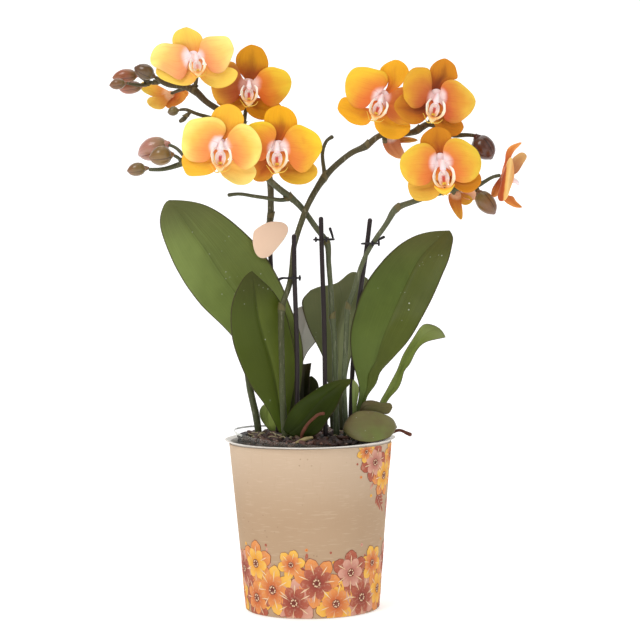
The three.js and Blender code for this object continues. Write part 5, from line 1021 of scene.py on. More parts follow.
# ------------------------------------------------------------------ print on the card: a made-up border of round blossoms and sprigs
INKS = [
    ink("yellow", (240, 186, 84), (226, 148, 52)), ink("orange", (226, 148, 84), (196, 98, 58)),
    ink("brick", (178, 98, 76), (146, 66, 56)), ink("pink", (214, 160, 140), (182, 112, 98)),
    ink("line", (240, 214, 180), (230, 192, 146)), ink("heart", (134, 70, 54), (108, 50, 44)),
]
PRINT = Shape()


def on_card(X, Z, lift):
    th = X / 46.0
    r = sleeve_r(Z) + lift
    return np.stack([r * np.sin(th), -r * np.cos(th), Z], -1)


def patch(X, Z, lift, uv, m):
    """Closed thin patch of ink over the grid X, Z of card places."""
    P0, P1 = on_card(X, Z, lift), on_card(X, Z, lift + 0.03)
    n, k = X.shape
    ids = [(i, 0) for i in range(n)] + [(n - 1, j) for j in range(1, k)] + [(i, k - 1) for i in range(n - 2, -1, -1)] + [(0, j) for j in range(k - 2, 0, -1)]
    e = [i * k + j for i, j in ids]
    f = grid_faces(n, k, off=n * k, flip=True) + grid_faces(n, k)
    f += [(e[q], e[(q + 1) % len(e)], n * k + e[(q + 1) % len(e)], n * k + e[q]) for q in range(len(e))]
    PRINT.add(np.vstack([P0.reshape(-1, 3), P1.reshape(-1, 3)]), f, np.vstack([uv.reshape(-1, 2)] * 2), m)


def petal_patch(cx, cz, ang, r0, L, W, lift, m, round_=0.75, ns=7, nt=5, notch=0.0):
    s_ = np.linspace(0, 1, ns)
    t_ = np.linspace(-1, 1, nt)
    xs = np.clip(s_, 0.01, 0.995) ** (1 / max(round_, 0.3)) if round_ > 1 else np.clip(s_, 0.01, 0.995)
    ws = np.sqrt(np.maximum(1 - (2 * xs**1.35 - 1) ** 2, 0.003))
    S, T = np.meshgrid(s_, t_, indexing="ij")
    along = r0 + L * S - notch * L * S * (1 - np.abs(T)) ** 2 * (S > 0.99)
    acr = T * (W / 2) * ws[:, None]
    X = cx + along * math.sin(ang) + acr * math.cos(ang)
    Z = cz + along * math.cos(ang) - acr * math.sin(ang)
    Z = np.clip(Z, SLEEVE_LIFT + 0.3, SLEEVE_H - 0.3)
    patch(X, Z, lift, np.stack([(T + 1) / 2, S], -1), m)


def disc_patch(cx, cz, r, lift, m, n=5, k=13):
    rr = np.linspace(0.02, 1, n)
    a = np.linspace(0, 2 * np.pi, k)
    Rr, A = np.meshgrid(rr, a, indexing="ij")
    X, Z = cx + r * Rr * np.cos(A), np.clip(cz + r * Rr * np.sin(A), SLEEVE_LIFT + 0.3, SLEEVE_H - 0.3)
    patch(X, Z, lift, np.stack([A / 6.3, Rr], -1), m)


def blossom(cx, cz, size, m, m2, petals, spin, lift):
    """Round cosmos-like blossom: lapped petals with pale lines and a dotted heart."""
    for ring, (f, mm) in enumerate([(1.0, m), (0.66, m2)]):
        for i in range(petals):
            a = spin + 2 * math.pi * (i + 0.5 * ring) / petals
            if ring == 0:
                petal_patch(cx, cz, a, size * 0.05, size * 1.0, size * 2.5 / petals * 1.70, lift - 0.04 + (i % 2) * 0.035, 5, 0.72)
            petal_patch(cx, cz, a, size * 0.08, size * f * 0.94, size * f * 2.5 / petals * 1.62, lift + ring * 0.08 + (i % 2) * 0.035, mm, 0.72)
            if ring == 0:
                petal_patch(cx, cz, a, size * 0.34, size * 0.46, size * 0.045, lift + 0.19, 4, 0.9, 5, 3)
    disc_patch(cx, cz, size * 0.20, lift + 0.20, 5)
    for i in range(8):
        a = i * 2.4
        disc_patch(cx + size * 0.13 * math.cos(a), cz + size * 0.13 * math.sin(a), size * 0.035, lift + 0.24, 4, 3, 7)


def sprig(cx, cz, ang, L, m, lift, pairs=4, w=0.28):
    petal_patch(cx, cz, ang, 0, L, L * 0.035 + 0.25, lift, m, 0.9, 12, 3)
    for i in range(pairs):
        q = 0.25 + 0.62 * i / pairs
        px, pz = cx + L * q * math.sin(ang), cz + L * q * math.cos(ang)
        for sg in (-1, 1):
            petal_patch(px, pz, ang + sg * 0.85, 0.2, L * (0.36 - 0.045 * i), L * w * (0.42 - 0.04 * i), lift + 0.03, m, 0.8, 7, 4)
    petal_patch(cx, cz, ang, L * 0.86, L * 0.26, L * w * 0.32, lift + 0.03, m, 0.8, 7, 4)


# sprigs first, then blossoms from the back of the border to its front
for X, Z, a, L, m in [(-46, 12, -0.25, 20, 2), (-33, 24, 0.2, 17, 3), (-20, 8, -0.5, 19, 0), (-6, 18, 0.15, 20, 2), (7, 9, 0.45, 18, 1), (22, 14, -0.2, 18, 3), (36, 22, 0.25, 17, 2), (50, 10, -0.4, 18, 0),
                      (44, 76, 2.5, 17, 2), (50, 94, -2.6, 19, 3), (-62, 20, 0.3, 18, 1), (66, 18, -0.2, 18, 2), (62, 72, 2.9, 16, 3)]:
    sprig(X, Z, a, L, m, 0.03)
for X, Z, size, m, m2, n, spin in [
        (-56, 27, 10.5, 3, 2, 6, 0.4), (-40, 32, 11.5, 1, 0, 6, 0.1), (-27, 17, 12.5, 0, 1, 7, 0.2), (-42, 11, 12.0, 2, 1, 6, 0.5), (-12, 10, 12.0, 3, 2, 6, 0.1), (-13, 33, 7.5, 0, 1, 6, 0.3),
        (3, 22, 12.5, 1, 2, 7, 0.6), (16, 9, 11.5, 0, 1, 6, 0.2), (26, 27, 11.0, 2, 3, 6, 0.0), (36, 11, 12.5, 3, 2, 7, 0.35), (45, 31, 9.0, 0, 1, 6, 0.7), (55, 14, 12.0, 1, 0, 6, 0.15),
        (-68, 10, 12.0, 0, 1, 7, 0.3), (68, 30, 10.5, 3, 2, 6, 0.5), (74, 9, 12.5, 2, 1, 6, 0.1), (42, 92, 9.5, 2, 3, 6, 0.3), (53, 83, 10.5, 1, 0, 7, 0.1), (63, 95, 8.5, 0, 1, 6, 0.6), (34, 99, 5.5, 0, 1, 6, 0.2)]:
    blossom(X, Z, size * 1.2, m, m2, n, spin, 0.16)
for X, Z, r, m in [(-50, 43, 1.1, 0), (-30, 44, 0.9, 2), (-3, 42, 1.0, 1), (12, 40, 0.8, 2), (34, 43, 1.1, 3), (56, 44, 0.9, 1), (31, 84, 0.9, 1), (28, 92, 0.7, 2), (40, 72, 1.0, 0), (52, 66, 0.8, 2), (-22, 30, 0.9, 2), (14, 34, 1.0, 0)]:
    disc_patch(X, Z, r, 0.1, m, 3, 11)
# the same border carried on round the back
for X, Z, size, m, m2, n, spin in [(88, 14, 12, 0, 1, 6, 0.2), (101, 24, 11, 1, 2, 7, 0.4), (110, 9, 12, 3, 2, 6, 0.1), (-83, 24, 11, 2, 3, 6, 0.3), (-94, 10, 12, 1, 0, 7, 0.2), (-106, 22, 11, 0, 1, 6, 0.5), (-118, 10, 12, 2, 1, 6, 0.3), (122, 24, 10.5, 2, 3, 6, 0.2), (-130, 24, 10.5, 3, 2, 6, 0.2)]:
    blossom(X, Z, size, m, m2, n, spin, 0.16)
PRINT.build("cover_print", INKS, smooth=False)


# ------------------------------------------------------------------ spikes
def bract(shape, path, rad, i, side, length, m=1):
    """Papery scale that clasps the stem at path point i and points on along it, on one side."""
    T, S, O = frames(path)
    d = np.r_[0, np.cumsum(np.linalg.norm(np.diff(path, axis=0), axis=1))]
    d0 = d[i] - length * 0.18
    ns, nt = 12, 13
    g = np.linspace(0, 1, ns)
    at_ = np.clip(d0 + g * length, 0, d[-1])
    C = np.stack([np.interp(at_, d, path[:, k]) for k in range(3)], 1)
    r0 = np.interp(at_, d, rad)
    t0, s0 = T[i], unit(side - T[i] * np.dot(side, T[i]))
    o0 = np.cross(t0, s0)
    half = math.radians(165) * np.sqrt(np.clip(1 - g, 0, 1)) * (0.55 + 0.45 * np.sqrt(np.clip(1 - g, 0, 1)))
    half = np.maximum(half, 0.06)
    tt = np.linspace(-1, 1, nt)
    A = half[:, None] * tt[None]
    R = (r0 + 0.12 + 0.32 * g**1.5)[:, None] * np.ones((1, nt))
    P = C[:, None] + s0 * (np.cos(A) * R)[..., None] + o0 * (np.sin(A) * R)[..., None]
    P = P + s0 * (0.4 * g**3)[:, None, None]
    uv = np.stack([np.repeat(g[:, None], nt, 1), np.repeat((tt[None] + 1) / 2, ns, 0)], 2)
    slab(shape, P, np.full((ns, nt), 0.3), uv, m, m, m)


def spike(name, stems, nodes_at, mats, step=1.0):
    s = Shape()
    for k, rows in enumerate(stems):
        path, r = rows_path(rows, step if k == 0 else 0.8)
        tube(s, path, r, 20 if k == 0 else 14, 0, wobble=0.05)
        if k == 0:
            for (u, v, y, sx, sz, L) in nodes_at:
                i = int(np.argmin(np.linalg.norm(path - at(u, v, y), axis=1)))
                bract(s, path, r, i, np.array([sx, -0.4, sz], float), L * 0.5)
                # swollen ring under the scale
                a, b = max(0, i - 3), min(len(path), i + 3)
                ring = r[a:b] + 0.16 * np.sin(np.linspace(0.2, 2.9, b - a))
                tube(s, path[a:b], ring, 20, 0)
        else:
            # small scale where the flower stalk leaves
            i = min(3, len(path) - 4)
            side = unit(path[min(len(path) - 1, 8)] - path[0])
            bract(s, path, r + 0.05, i, np.array([side[2], -0.4, -side[0]]), 2.8)
    s.build(name + "_stem", mats, node=name)


spike("spike_a", SPIKES["spike_a"], [(281.7, 309, -19.5, -0.8, 0.2, 9), (324, 178, -7, -0.7, 0.5, 7), (366, 146, -3, -0.3, 0.9, 7), (418, 130, -1, -0.2, 0.9, 6)], [STEM_DARK, BRACT])
spike("spike_b", SPIKES["spike_b"], [(332, 317, -12, 0.8, 0.2, 9), (327, 243, -12, 0.8, 0.3, 8), (290, 197, -9.5, 0.2, 0.9, 6)], [STEM, BRACT])
spike("spike_c", SPIKES["spike_c"], [(348, 308, -14, -0.8, 0.2, 9), (396, 209, -11, 0.1, 0.9, 8), (442, 192, -7.5, 0, 0.9, 6), (475, 186, -7, 0, 0.9, 4)], [STEM, BRACT])
spike("spike_d", SPIKES["spike_d"], [(246, 330, 10.5, -0.8, 0.1, 9), (270.6, 215, 8, 0.7, 0.1, 8), (256, 146, -1, 0.5, 0.7, 6), (193.5, 90, -7, 0, 0.9, 6)], [STEM_DARK, BRACT])


# ------------------------------------------------------------------ leaves
def leaf_sheet(rows, tip, n=84, m=27):
    """Middle surface of a leaf as (n, m, 3), with along and across numbers."""
    tt = np.linspace(-1, 1, m)
    lines = []
    for r in rows:
        if len(r) == 9:
            L, M, Rr = at(r[0], r[1], r[6]), at(r[2], r[3], r[7]), at(r[4], r[5], r[8])
            lines.append(M + (Rr - L) / 2 * tt[:, None] + ((L + Rr) / 2 - M) * (tt**2)[:, None])
        else:
            five = np.array([at(*r[3 * q:3 * q + 3]) for q in range(5)])
            lines.append(spline(five, 0, t=np.linspace(-1, 1, 5), x=tt))
    lines = np.array(lines)
    M = lines[:, m // 2]
    if tip is not None:
        t = at(*tip)
        M = np.vstack([M, t])
        lines = np.concatenate([lines, np.repeat(t[None, None], m, 1)])
    d = np.r_[0, np.cumsum(np.linalg.norm(np.diff(M, axis=0), axis=1))]
    if tip is not None:
        w = -np.sqrt(d[-1] - d)
        # even steps in a mix of length and its root, so that the tip is round and finely cut
        f = np.linspace(0, 1, n)
        x = -np.sqrt(np.maximum(d[-1] * (1 - (0.35 * f + 0.65 * (1 - (1 - f) ** 2))), 0))
        x[0], x[-1] = w[0], 0
    else:
        w, x = d, np.linspace(0, d[-1], n)
    P = spline(lines.reshape(len(lines), -1), n, t=w, x=x).reshape(n, m, 3)
    dist = d[-1] - x**2 if tip is not None else x
    g = dist / d[-1]
    return P, np.repeat(g[:, None], m, 1), np.repeat(((tt + 1) / 2)[None], n, 0), tt


def leaf_piece(name, mats, wave=0.5, groove=0.5, seed=0.0, n=84, m=27, dome_k=1.0):
    rows, tip, thick = LEAVES[name]
    P, G, A, tt = leaf_sheet(rows, tip, n, m)
    N = unit(np.cross(np.gradient(P, axis=0), np.gradient(P, axis=1)) + 1e-9)
    N = N * np.sign(np.sum(N * [0, -1, 0.15], axis=2).mean())
    wide = np.linalg.norm(P[:, -1] - P[:, 0], axis=1)
    soft = np.clip(wide / 14, 0, 1)[:, None]
    # a valley along the midrib, the two halves slightly domed, a slow wave along the margins
    dome = 0.10 * wide[:, None] * (np.abs(tt) ** 0.7 * (1 - np.abs(tt)))[None] * 0.55 * dome_k
    valley = -groove * np.exp(-((tt / 0.07) ** 2))[None] * soft
    ripple = wave * bumps(P, 26.0, seed + 5) * (tt**2)[None] + 0.28 * wave * bumps(P, 9.0, seed) * soft
    end = np.minimum(1, (1 - G) * 6)
    P = P + N * ((dome + valley + ripple) * end)[..., None]
    T = 0.35 + (min(thick, 1.8) - 0.35) * (1 - np.abs(tt) ** 2.2)[None] * np.clip(wide / 9, 0.25, 1)[:, None]
    T = T * np.clip((1 - G) * 14, 0.35, 1)
    sh = Shape()
    facing = float((np.cross(np.gradient(P, axis=0), np.gradient(P, axis=1)) * [0, -1, 0]).sum()) > 0
    slab(sh, P, T, np.stack([G, A], 2), 0 if facing else 1, 1 if facing else 0, 0)
    # keel under the midrib
    keel = P[:, m // 2] - N[:, m // 2] * (0.55 * T[:, m // 2])[:, None]
    a, b = int(n * 0.02), int(n * 0.93)
    kr = np.interp(np.linspace(0, 1, b - a), [0, 0.6, 1], [0.9, 0.6, 0.2]) * np.clip(wide[a:b] / 20, 0.2, 1)
    tube(sh, keel[a:b], kr, 8, 1)
    return sh.build(name + "_blade", mats, node=name)


UNDER = leaf_mat("leaf_under", (108, 120, 66), (100, 110, 60), (88, 100, 52), (106, 110, 70), dust=0.1, gloss=0.55)
# painted shade: the dark foot tone of this leaf, reaching up to 0.42 of its length, stands for the shade on its lower
# part
leaf_piece("leaf_left_large", [leaf_mat("leaf_l1", (126, 142, 74), (108, 120, 58), (44, 48, 14), (96, 98, 56), dust=0.5, tip_at=1.0, low_at=0.42), UNDER], seed=1, wave=0.9)
leaf_piece("leaf_front_left", [leaf_mat("leaf_l2", (70, 82, 16), (84, 96, 26), (86, 106, 30), (58, 60, 10), dust=0.6), UNDER], seed=2, wave=0.6)
# painted reflection: the near-white tones of this back leaf stand for the sheen reflected off its surface
leaf_piece("leaf_back_left", [leaf_mat("leaf_l3_painted_reflection", (206, 202, 198), (194, 192, 184), (140, 142, 112), (206, 202, 198), dust=0.2, gloss=0.6), UNDER], seed=3, n=50, m=17)
# painted shade: the near-black foot tone stands for the shade on this leaf's lower part
leaf_piece("leaf_back_broad", [leaf_mat("leaf_l4", (100, 106, 68), (126, 134, 90), (26, 28, 10), (112, 116, 78), dust=0.4, swap=0.58, low_at=0.42), leaf_mat("leaf_l4_under", (96, 98, 60), (96, 98, 60), (60, 62, 30), (96, 92, 62), dust=0.1, gloss=0.55)], seed=4, wave=0.8)
leaf_piece("leaf_right_large", [leaf_mat("leaf_l5", (90, 106, 42), (80, 88, 28), (72, 92, 26), (92, 92, 46), dust=0.8), UNDER], seed=5, wave=0.9)
leaf_piece("leaf_right_curled", [leaf_mat("leaf_l6", (128, 142, 72), (122, 136, 66), (108, 124, 56), (120, 128, 76), dust=0.4, midrib_shade=0.15), UNDER], seed=6, wave=0.25, groove=0.2, m=15, n=70)
leaf_piece("leaf_front_centre", [leaf_mat("leaf_l7", (46, 58, 8), (40, 50, 4), (34, 44, 6), (64, 70, 24), dust=0.5, midrib_shade=0.3, spec=0.08), UNDER], seed=7, wave=0.4, groove=0.25, dome_k=0.5)
leaf_piece("leaf_rim_round", [leaf_mat("leaf_l8", (118, 112, 68), (108, 118, 62), (84, 76, 44), (112, 104, 64), dust=1.0, swap=0.5, midrib_shade=0.0, blend=0.4, tinge=(104, 78, 62, 0.45)), UNDER], seed=8, wave=0.5, groove=0.0, dome_k=0.1)
# painted shade: the dark foot, over half the leaf, stands for the shade it lies in under the leaves above
leaf_piece("leaf_tucked_right", [leaf_mat("leaf_l9", (96, 90, 52), (88, 86, 46), (40, 40, 16), (104, 96, 56), dust=0.4, low_at=0.55, midrib_shade=0.0, blend=0.3, tinge=(92, 66, 54, 0.4)), UNDER], seed=9, n=40, m=17)
# painted light: its greens are raised well above the leaf's own tone to make up for the shade it sits in
leaf_piece("leaf_small_left", [leaf_mat("leaf_l10_painted_light", (172, 192, 102), (160, 180, 90), (96, 112, 46), (150, 166, 90), dust=0.3, midrib_shade=0.15), UNDER], seed=10, n=36, m=17)
# partly the leaves' own dark green, partly painted shade: the very dark greens of the small centre leaf and the cut
# stub stand for the deep shade in the crown
leaf_piece("leaf_small_centre", [leaf_mat("leaf_l11", (58, 64, 26), (46, 52, 18), (30, 34, 8), (66, 70, 34), dust=0.2), UNDER], seed=11, n=40, m=15)
leaf_piece("leaf_cut_stub", [leaf_mat("leaf_stub", (44, 44, 20), (38, 38, 16), (26, 28, 8), (70, 62, 38), dust=0.2), UNDER], seed=13, n=40, m=13, wave=0.2)
leaf_piece("leaf_sheath_right", [leaf_mat("leaf_l12", (112, 128, 66), (98, 112, 50), (60, 72, 24), (132, 140, 84), dust=0.1), UNDER], seed=12, n=40, m=11, groove=0.1)


# ------------------------------------------------------------------ stakes, clips, label, roots
for name, rows in STAKES.items():
    s = Shape()
    path, r = rows_path([list(q) + [1.42] for q in rows], 1.5)
    tube(s, path, r, 20, 0, wobble=0.015)
    s.build(name + "_rod", [STAKE], node=name)

for name, (centre, deg, a, b, arm) in CLIPS.items():
    c = at(*centre)
    w = math.radians(deg)
    ux, uy = np.array([math.cos(w), math.sin(w), 0]), np.array([-math.sin(w), math.cos(w), 0])
    q = np.radians(np.linspace(-160, 160, 72))
    loop = c + ux * (a * np.cos(q))[:, None] + uy * (b * np.sin(q))[:, None]
    s = Shape()
    tube(s, loop, np.full(len(q), 0.62), 12, 0)
    k = int(round((arm[0] / 14) * 71))
    end = at(*arm[1:])
    tube(s, spline([loop[k], (loop[k] + end) / 2 + [0, 0, 0.4], end], 16), np.linspace(0.6, 0.9, 16), 12, 0)
    # two ribs where the fingers grip
    for kk in (3, 68):
        tube(s, np.array([loop[kk] + [0, 0, -1.3], loop[kk], loop[kk] + [0, 0, 1.3]]), np.array([0.55, 0.75, 0.55]), 10, 0)
    s.build(name + "_loop", [CLIP], node=name)

TAG = [[253, 237], [254, 231.5], [257.5, 228], [263, 224.5], [269.5, 222], [277, 221.6], [284, 223], [287.6, 226.5], [288, 231], [285.5, 237], [281, 243.5], [276, 249.5], [271.5, 254.5],
       [267, 257.4], [261, 258], [256.5, 254.6], [253.8, 248.5], [252.7, 242.5]]
loop = np.array([at(u, v, -1.2) for u, v in TAG])
k = len(loop)
big = np.vstack([loop, loop, loop])
d = np.r_[0, np.cumsum(np.linalg.norm(np.diff(big, axis=0), axis=1))]
fine = spline(big, 0, t=d, x=np.linspace(d[k], d[2 * k], 97)[:-1])
cen = fine.mean(0)
s = Shape()
rings = []
for f, dy in [(0.0, -0.45), (0.5, -0.45), (0.965, -0.45), (0.992, -0.36), (1.0, -0.2), (1.0, 0.2), (0.992, 0.36), (0.965, 0.45), (0.5, 0.45), (0.0, 0.45)]:
    rings.append(cen + (fine - cen) * max(f, 0.002) + [0, dy, 0])
V = np.array(rings)
s.add(V, grid_faces(len(rings), 96, wrap=True, flip=True), np.stack([np.repeat(np.linspace(0, 1, len(rings))[:, None], 96, 1)] * 2, 2))
s.build("label_card_blank", [LABEL], node="label_blank")

for name, rows in ROOTS.items():
    s = Shape()
    path, r = rows_path(rows, 0.7)
    tube(s, path, r, 18, 0, wobble=0.22)
    s.build(name + "_root", [ROOT_TAN if "tan" in name else ROOT_RED], node=name)


# ------------------------------------------------------------------ flowers
LOOKS = {
    # rim, body, flush, heart (partly a painted highlight) for the petals; then body and flush for the sepals
    1: ((254, 240, 138), (250, 208, 112), (244, 158, 106), (255, 238, 240), (246, 206, 88), (236, 150, 74)),
    2: ((246, 208, 58), (236, 176, 48), (222, 110, 42), (248, 208, 196), (210, 146, 22), (178, 84, 20)),
    3: ((254, 238, 126), (250, 200, 90), (244, 148, 84), (255, 240, 242), (246, 184, 54), (234, 136, 52)),
    4: ((252, 216, 54), (244, 176, 50), (234, 130, 62), (254, 232, 230), (238, 172, 26), (210, 104, 28)),
    5: ((244, 200, 54), (244, 180, 54), (232, 118, 58), (255, 232, 232), (238, 174, 36), (218, 110, 38)),
    6: ((240, 198, 74), (232, 162, 58), (212, 98, 58), (252, 224, 222), (206, 132, 28), (172, 78, 28)),
    7: ((238, 200, 64), (238, 178, 60), (232, 124, 64), (254, 232, 234), (202, 128, 24), (184, 88, 34)),
}
# petals in their neighbour's shade, or turned from the light
SHADED = {
    (2, "L"): ((240, 180, 60), (206, 134, 54), (186, 92, 48), (232, 176, 160)),
    (5, "R"): ((232, 168, 44), (208, 128, 40), (204, 106, 54), (246, 206, 202)),
    (6, "L"): ((226, 166, 46), (214, 138, 50), (196, 98, 54), (246, 208, 206)),
    (3, "LR"): ((254, 222, 120), (250, 200, 96), (240, 158, 74), (240, 158, 74)),
    (4, "LL"): ((226, 160, 50), (206, 118, 40), (176, 80, 30), (176, 80, 30)),
    (4, "LR"): ((226, 176, 50), (208, 146, 34), (186, 100, 30), (186, 100, 30)),
    (6, "LL"): ((206, 134, 34), (184, 102, 26), (150, 64, 20), (150, 64, 20)),
    (7, "LL"): ((232, 184, 70), (222, 164, 58), (196, 116, 44), (196, 116, 44)),
}
# red, green, blue and strength of the dark streak in the middle of the sepals
SEPAL_DARK = {1: (232, 160, 84, 0.4), 2: (124, 50, 14, 0.6), 3: (230, 150, 60, 0.45), 4: (152, 64, 18, 0.7), 5: (190, 92, 30, 0.6), 6: (116, 48, 22, 0.8), 7: (160, 74, 24, 0.7)}
PETAL_BACK = petal_mat("petal_back", (238, 186, 84), (226, 158, 66), (214, 128, 74), (226, 170, 120), 0.3, back=True)


def at_grid(U, V, Y):
    d = FWD * EYE["reach"] + ACR * (U[..., None] - 320.0) + ALO * (321.0 - V[..., None])
    return EYE_AT + d * ((Y[..., None] + EYE["back"]) / d[..., 1:2])


def margins(c, L, T, R, start=2.6):
    """The two margins of a tepal on the sheet, smooth, from the hub out to the tip they share."""
    c, L, T, R = (np.asarray(q, float) for q in (c, L, T, R))
    du = (L[0] + R[0]) / 2 - c
    sd = unit(R[0] - L[0])
    pts = np.vstack([c - sd * start + du * 0.1, L, T, R[::-1], c + sd * start + du * 0.1])
    d = np.r_[0, np.cumsum(np.linalg.norm(np.diff(pts, axis=0), axis=1))]
    x1 = np.linspace(0, d[len(L) + 1], 240)
    x2 = np.linspace(d[len(L) + 1], d[-1], 240)
    line = spline(pts, 0, t=d, x=np.r_[x1, x2])
    return line[:240], line[240:][::-1]


def walk(line, s):
    d = np.r_[0, np.cumsum(np.linalg.norm(np.diff(line, axis=0), axis=1))]
    return np.stack([np.interp(s * d[-1], d, line[:, k]) for k in range(2)], 1)


def tepal_sheet(c, shape, y0, y1, bow, edge, face, seed, broad=True, n=44, m=25):
    A, B = margins(c, *shape)
    f = np.linspace(0, 1, n)
    s = 0.02 + 0.98 * (0.45 * f + 0.55 * (1 - (1 - f) ** 2))
    a, b = walk(A, s), walk(B, s)
    tt = np.linspace(-1, 1, m)
    tt = np.sign(tt) * np.abs(tt) ** 0.88
    k = ((tt + 1) / 2)[None, :, None]
    uv = a[:, None] * (1 - k) + b[:, None] * k
    rs = np.random.default_rng(int(seed * 977) + 5)
    ph = rs.uniform(0, 6, 6)
    S, T = np.repeat(s[:, None], m, 1), np.repeat(tt[None], n, 0)
    G = np.linalg.norm(uv - np.asarray(c, float), axis=2) / np.linalg.norm(np.asarray(shape[1], float) - np.asarray(c, float))
    y = y0 + (y1 - y0) * S + bow * np.sin(math.pi * S) * (1 - 0.25 * T**2) + edge * np.sin(math.pi * np.minimum(1, S + 0.1)) * np.abs(T) ** 1.8
    amp = 0.62 if broad else 0.34
    y = y + amp * np.abs(T) ** 2.2 * np.sin(S * 9 + ph[0] + T * 1.3) * np.sin(math.pi * S) ** 0.5
    y = y + amp * 0.9 * np.clip(S - 0.6, 0, 1) * np.cos(T * 2.6 + ph[1])
    # a fold along the middle and shallow pleats that fan out
    y = y + 0.34 * np.exp(-((T / 0.09) ** 2)) * np.sin(math.pi * np.clip(S * 0.95, 0, 1)) * (1 if broad else -0.8)
    y = y + 0.10 * np.sin(T * 9 + ph[2]) * np.sin(math.pi * S)
    mid = at(c[0], c[1], y0)
    P = at_grid(uv[..., 0], uv[..., 1], y)
    P[..., 1] += 0.34 * bumps(P, 7.0, seed) + 0.11 * bumps(P, 2.4, seed + 9)
    P[..., 1] += face[0] * (P[..., 0] - mid[0]) + face[1] * (P[..., 2] - mid[2])
    return P, G, np.repeat(((tt + 1) / 2)[None], n, 0)


def put_sheet(shape, P, G, A, base=0.8, rim=0.3, mf=0, mb=1):
    T = rim + (base - rim) * (1 - np.abs(A * 2 - 1) ** 2) * np.clip(1.15 - G, 0.15, 1)
    N = np.cross(np.gradient(P, axis=0), np.gradient(P, axis=1))
    facing = float(N[..., 1].sum()) < 0
    slab(shape, P, T, np.stack([G, A], 2), mf if facing else mb, mb if facing else mf, mf)


def ball(shape, c, rx, ry, rz, m=0, n=12, k=16, uv=(0.1, 0.5)):
    V, F = [], []
    for i in range(1, n):
        a = math.pi * i / n
        for j in range(k):
            b = 2 * math.pi * j / k
            V.append([c[0] + rx * math.sin(a) * math.cos(b), c[1] + ry * math.sin(a) * math.sin(b), c[2] + rz * math.cos(a)])
    F = grid_faces(n - 1, k, wrap=True, flip=False)
    V += [[c[0], c[1], c[2] + rz], [c[0], c[1], c[2] - rz]]
    t, b_ = (n - 1) * k, (n - 1) * k + 1
    F += [(t, j, (j + 1) % k) for j in range(k)]
    F += [(b_, (n - 2) * k + (j + 1) % k, (n - 2) * k + j) for j in range(k)]
    shape.add(V, F, np.tile(uv, (len(V), 1)), m)


def ramp_mat(name, stops, rough=0.45, spots=0.0, **kw):
    """Flesh whose tone runs along the first number, a little mottled."""
    m = Mat(name, rough, Specular_IOR_Level=0.4, Subsurface_Weight=0.10, Subsurface_Scale=0.003, **kw)
    u, v, uvv = m.uv()
    uu = m.math("ADD", u, m.math("MULTIPLY", m.math("SUBTRACT", m.noise(260, 3), 0.5), 0.16))
    c = m.ramp(uu, [(p, lin(*q)) for p, q in stops])
    if spots:
        vo = m.voronoi(1500)
        c = m.mix(m.math("MULTIPLY", m.mapr(vo.outputs["Distance"], 0.34, 0.18), spots), c, lin(196, 62, 34))
    m.color(c)
    m.bump(m.noise(900, 2), 0.12, 0.0002)
    return m.mat


LIP_SIDE = ramp_mat("lip_side", [(0.0, (236, 150, 84)), (0.2, (250, 196, 130)), (0.45, (255, 236, 204)), (0.8, (255, 248, 236)), (1.0, (255, 236, 226))])
LIP_COLUMN = ramp_mat("lip_column", [(0.0, (255, 252, 251)), (0.6, (255, 244, 244)), (1.0, (250, 214, 216))])


def throat_mat(name, streak, mouth, k):
    """The hollow of the lip: pale flesh with a small red streak along the middle and a yellow mouth."""
    m = Mat(name, 0.45, Specular_IOR_Level=0.3, Subsurface_Weight=0.08, Subsurface_Scale=0.002)
    u, v, _ = m.uv()
    c = m.ramp(u, [(0.0, lin(255, 248, 246)), (0.4, lin(255, 234, 230)), (0.7, lin(253, 218, 196)), (1.0, lin(254, 224, 150))])
    w = m.math("ABSOLUTE", m.math("SUBTRACT", v, 0.5))
    w = m.math("ADD", w, m.math("MULTIPLY", m.math("SUBTRACT", m.noise(500, 3), 0.5), 0.16))
    red = m.math("MULTIPLY", m.mapr(w, 0.24, 0.10), m.math("MULTIPLY", m.mapr(u, 0.24, 0.42), m.mapr(u, 0.96, 0.80)))
    c = m.mix(m.math("MULTIPLY", red, k), c, lin(*streak))
    low = m.math("MULTIPLY", m.mapr(w, 0.46, 0.22), m.math("MULTIPLY", m.mapr(u, 0.58, 0.74), m.mapr(u, 1.05, 0.92)))
    c = m.mix(m.math("MULTIPLY", low, 0.55 * k), c, lin(*mouth))
    bars = m.mapr(m.noise(1.0, 2, 0.5, vec=m.stretch(26.0, 5.0, 1.0, _)), 0.52, 0.62)
    c = m.mix(m.math("MULTIPLY", m.math("MULTIPLY", bars, m.mapr(w, 0.46, 0.30)), 0.28 * k), c, lin(*streak))
    m.color(c)
    m.bump(m.noise(900, 2), 0.12, 0.0002)
    return m.mat


LIP_THROAT = throat_mat("lip_throat", (206, 62, 38), (236, 128, 48), 0.95)
LIP_THROAT_PALE = throat_mat("lip_throat_pale", (232, 142, 120), (250, 200, 110), 0.7)
LIP_MID = ramp_mat("lip_mid", [(0.0, (222, 104, 48)), (0.3, (246, 168, 84)), (0.6, (254, 214, 150)), (1.0, (255, 228, 170))])
LIP_MID_YELLOW = ramp_mat("lip_mid_yellow", [(0.0, (222, 110, 34)), (0.3, (246, 176, 40)), (0.65, (254, 210, 62)), (1.0, (252, 190, 50))])
LIP_CALLUS = plain("lip_callus", (248, 196, 62), 0.4, 0.10, 900).mat

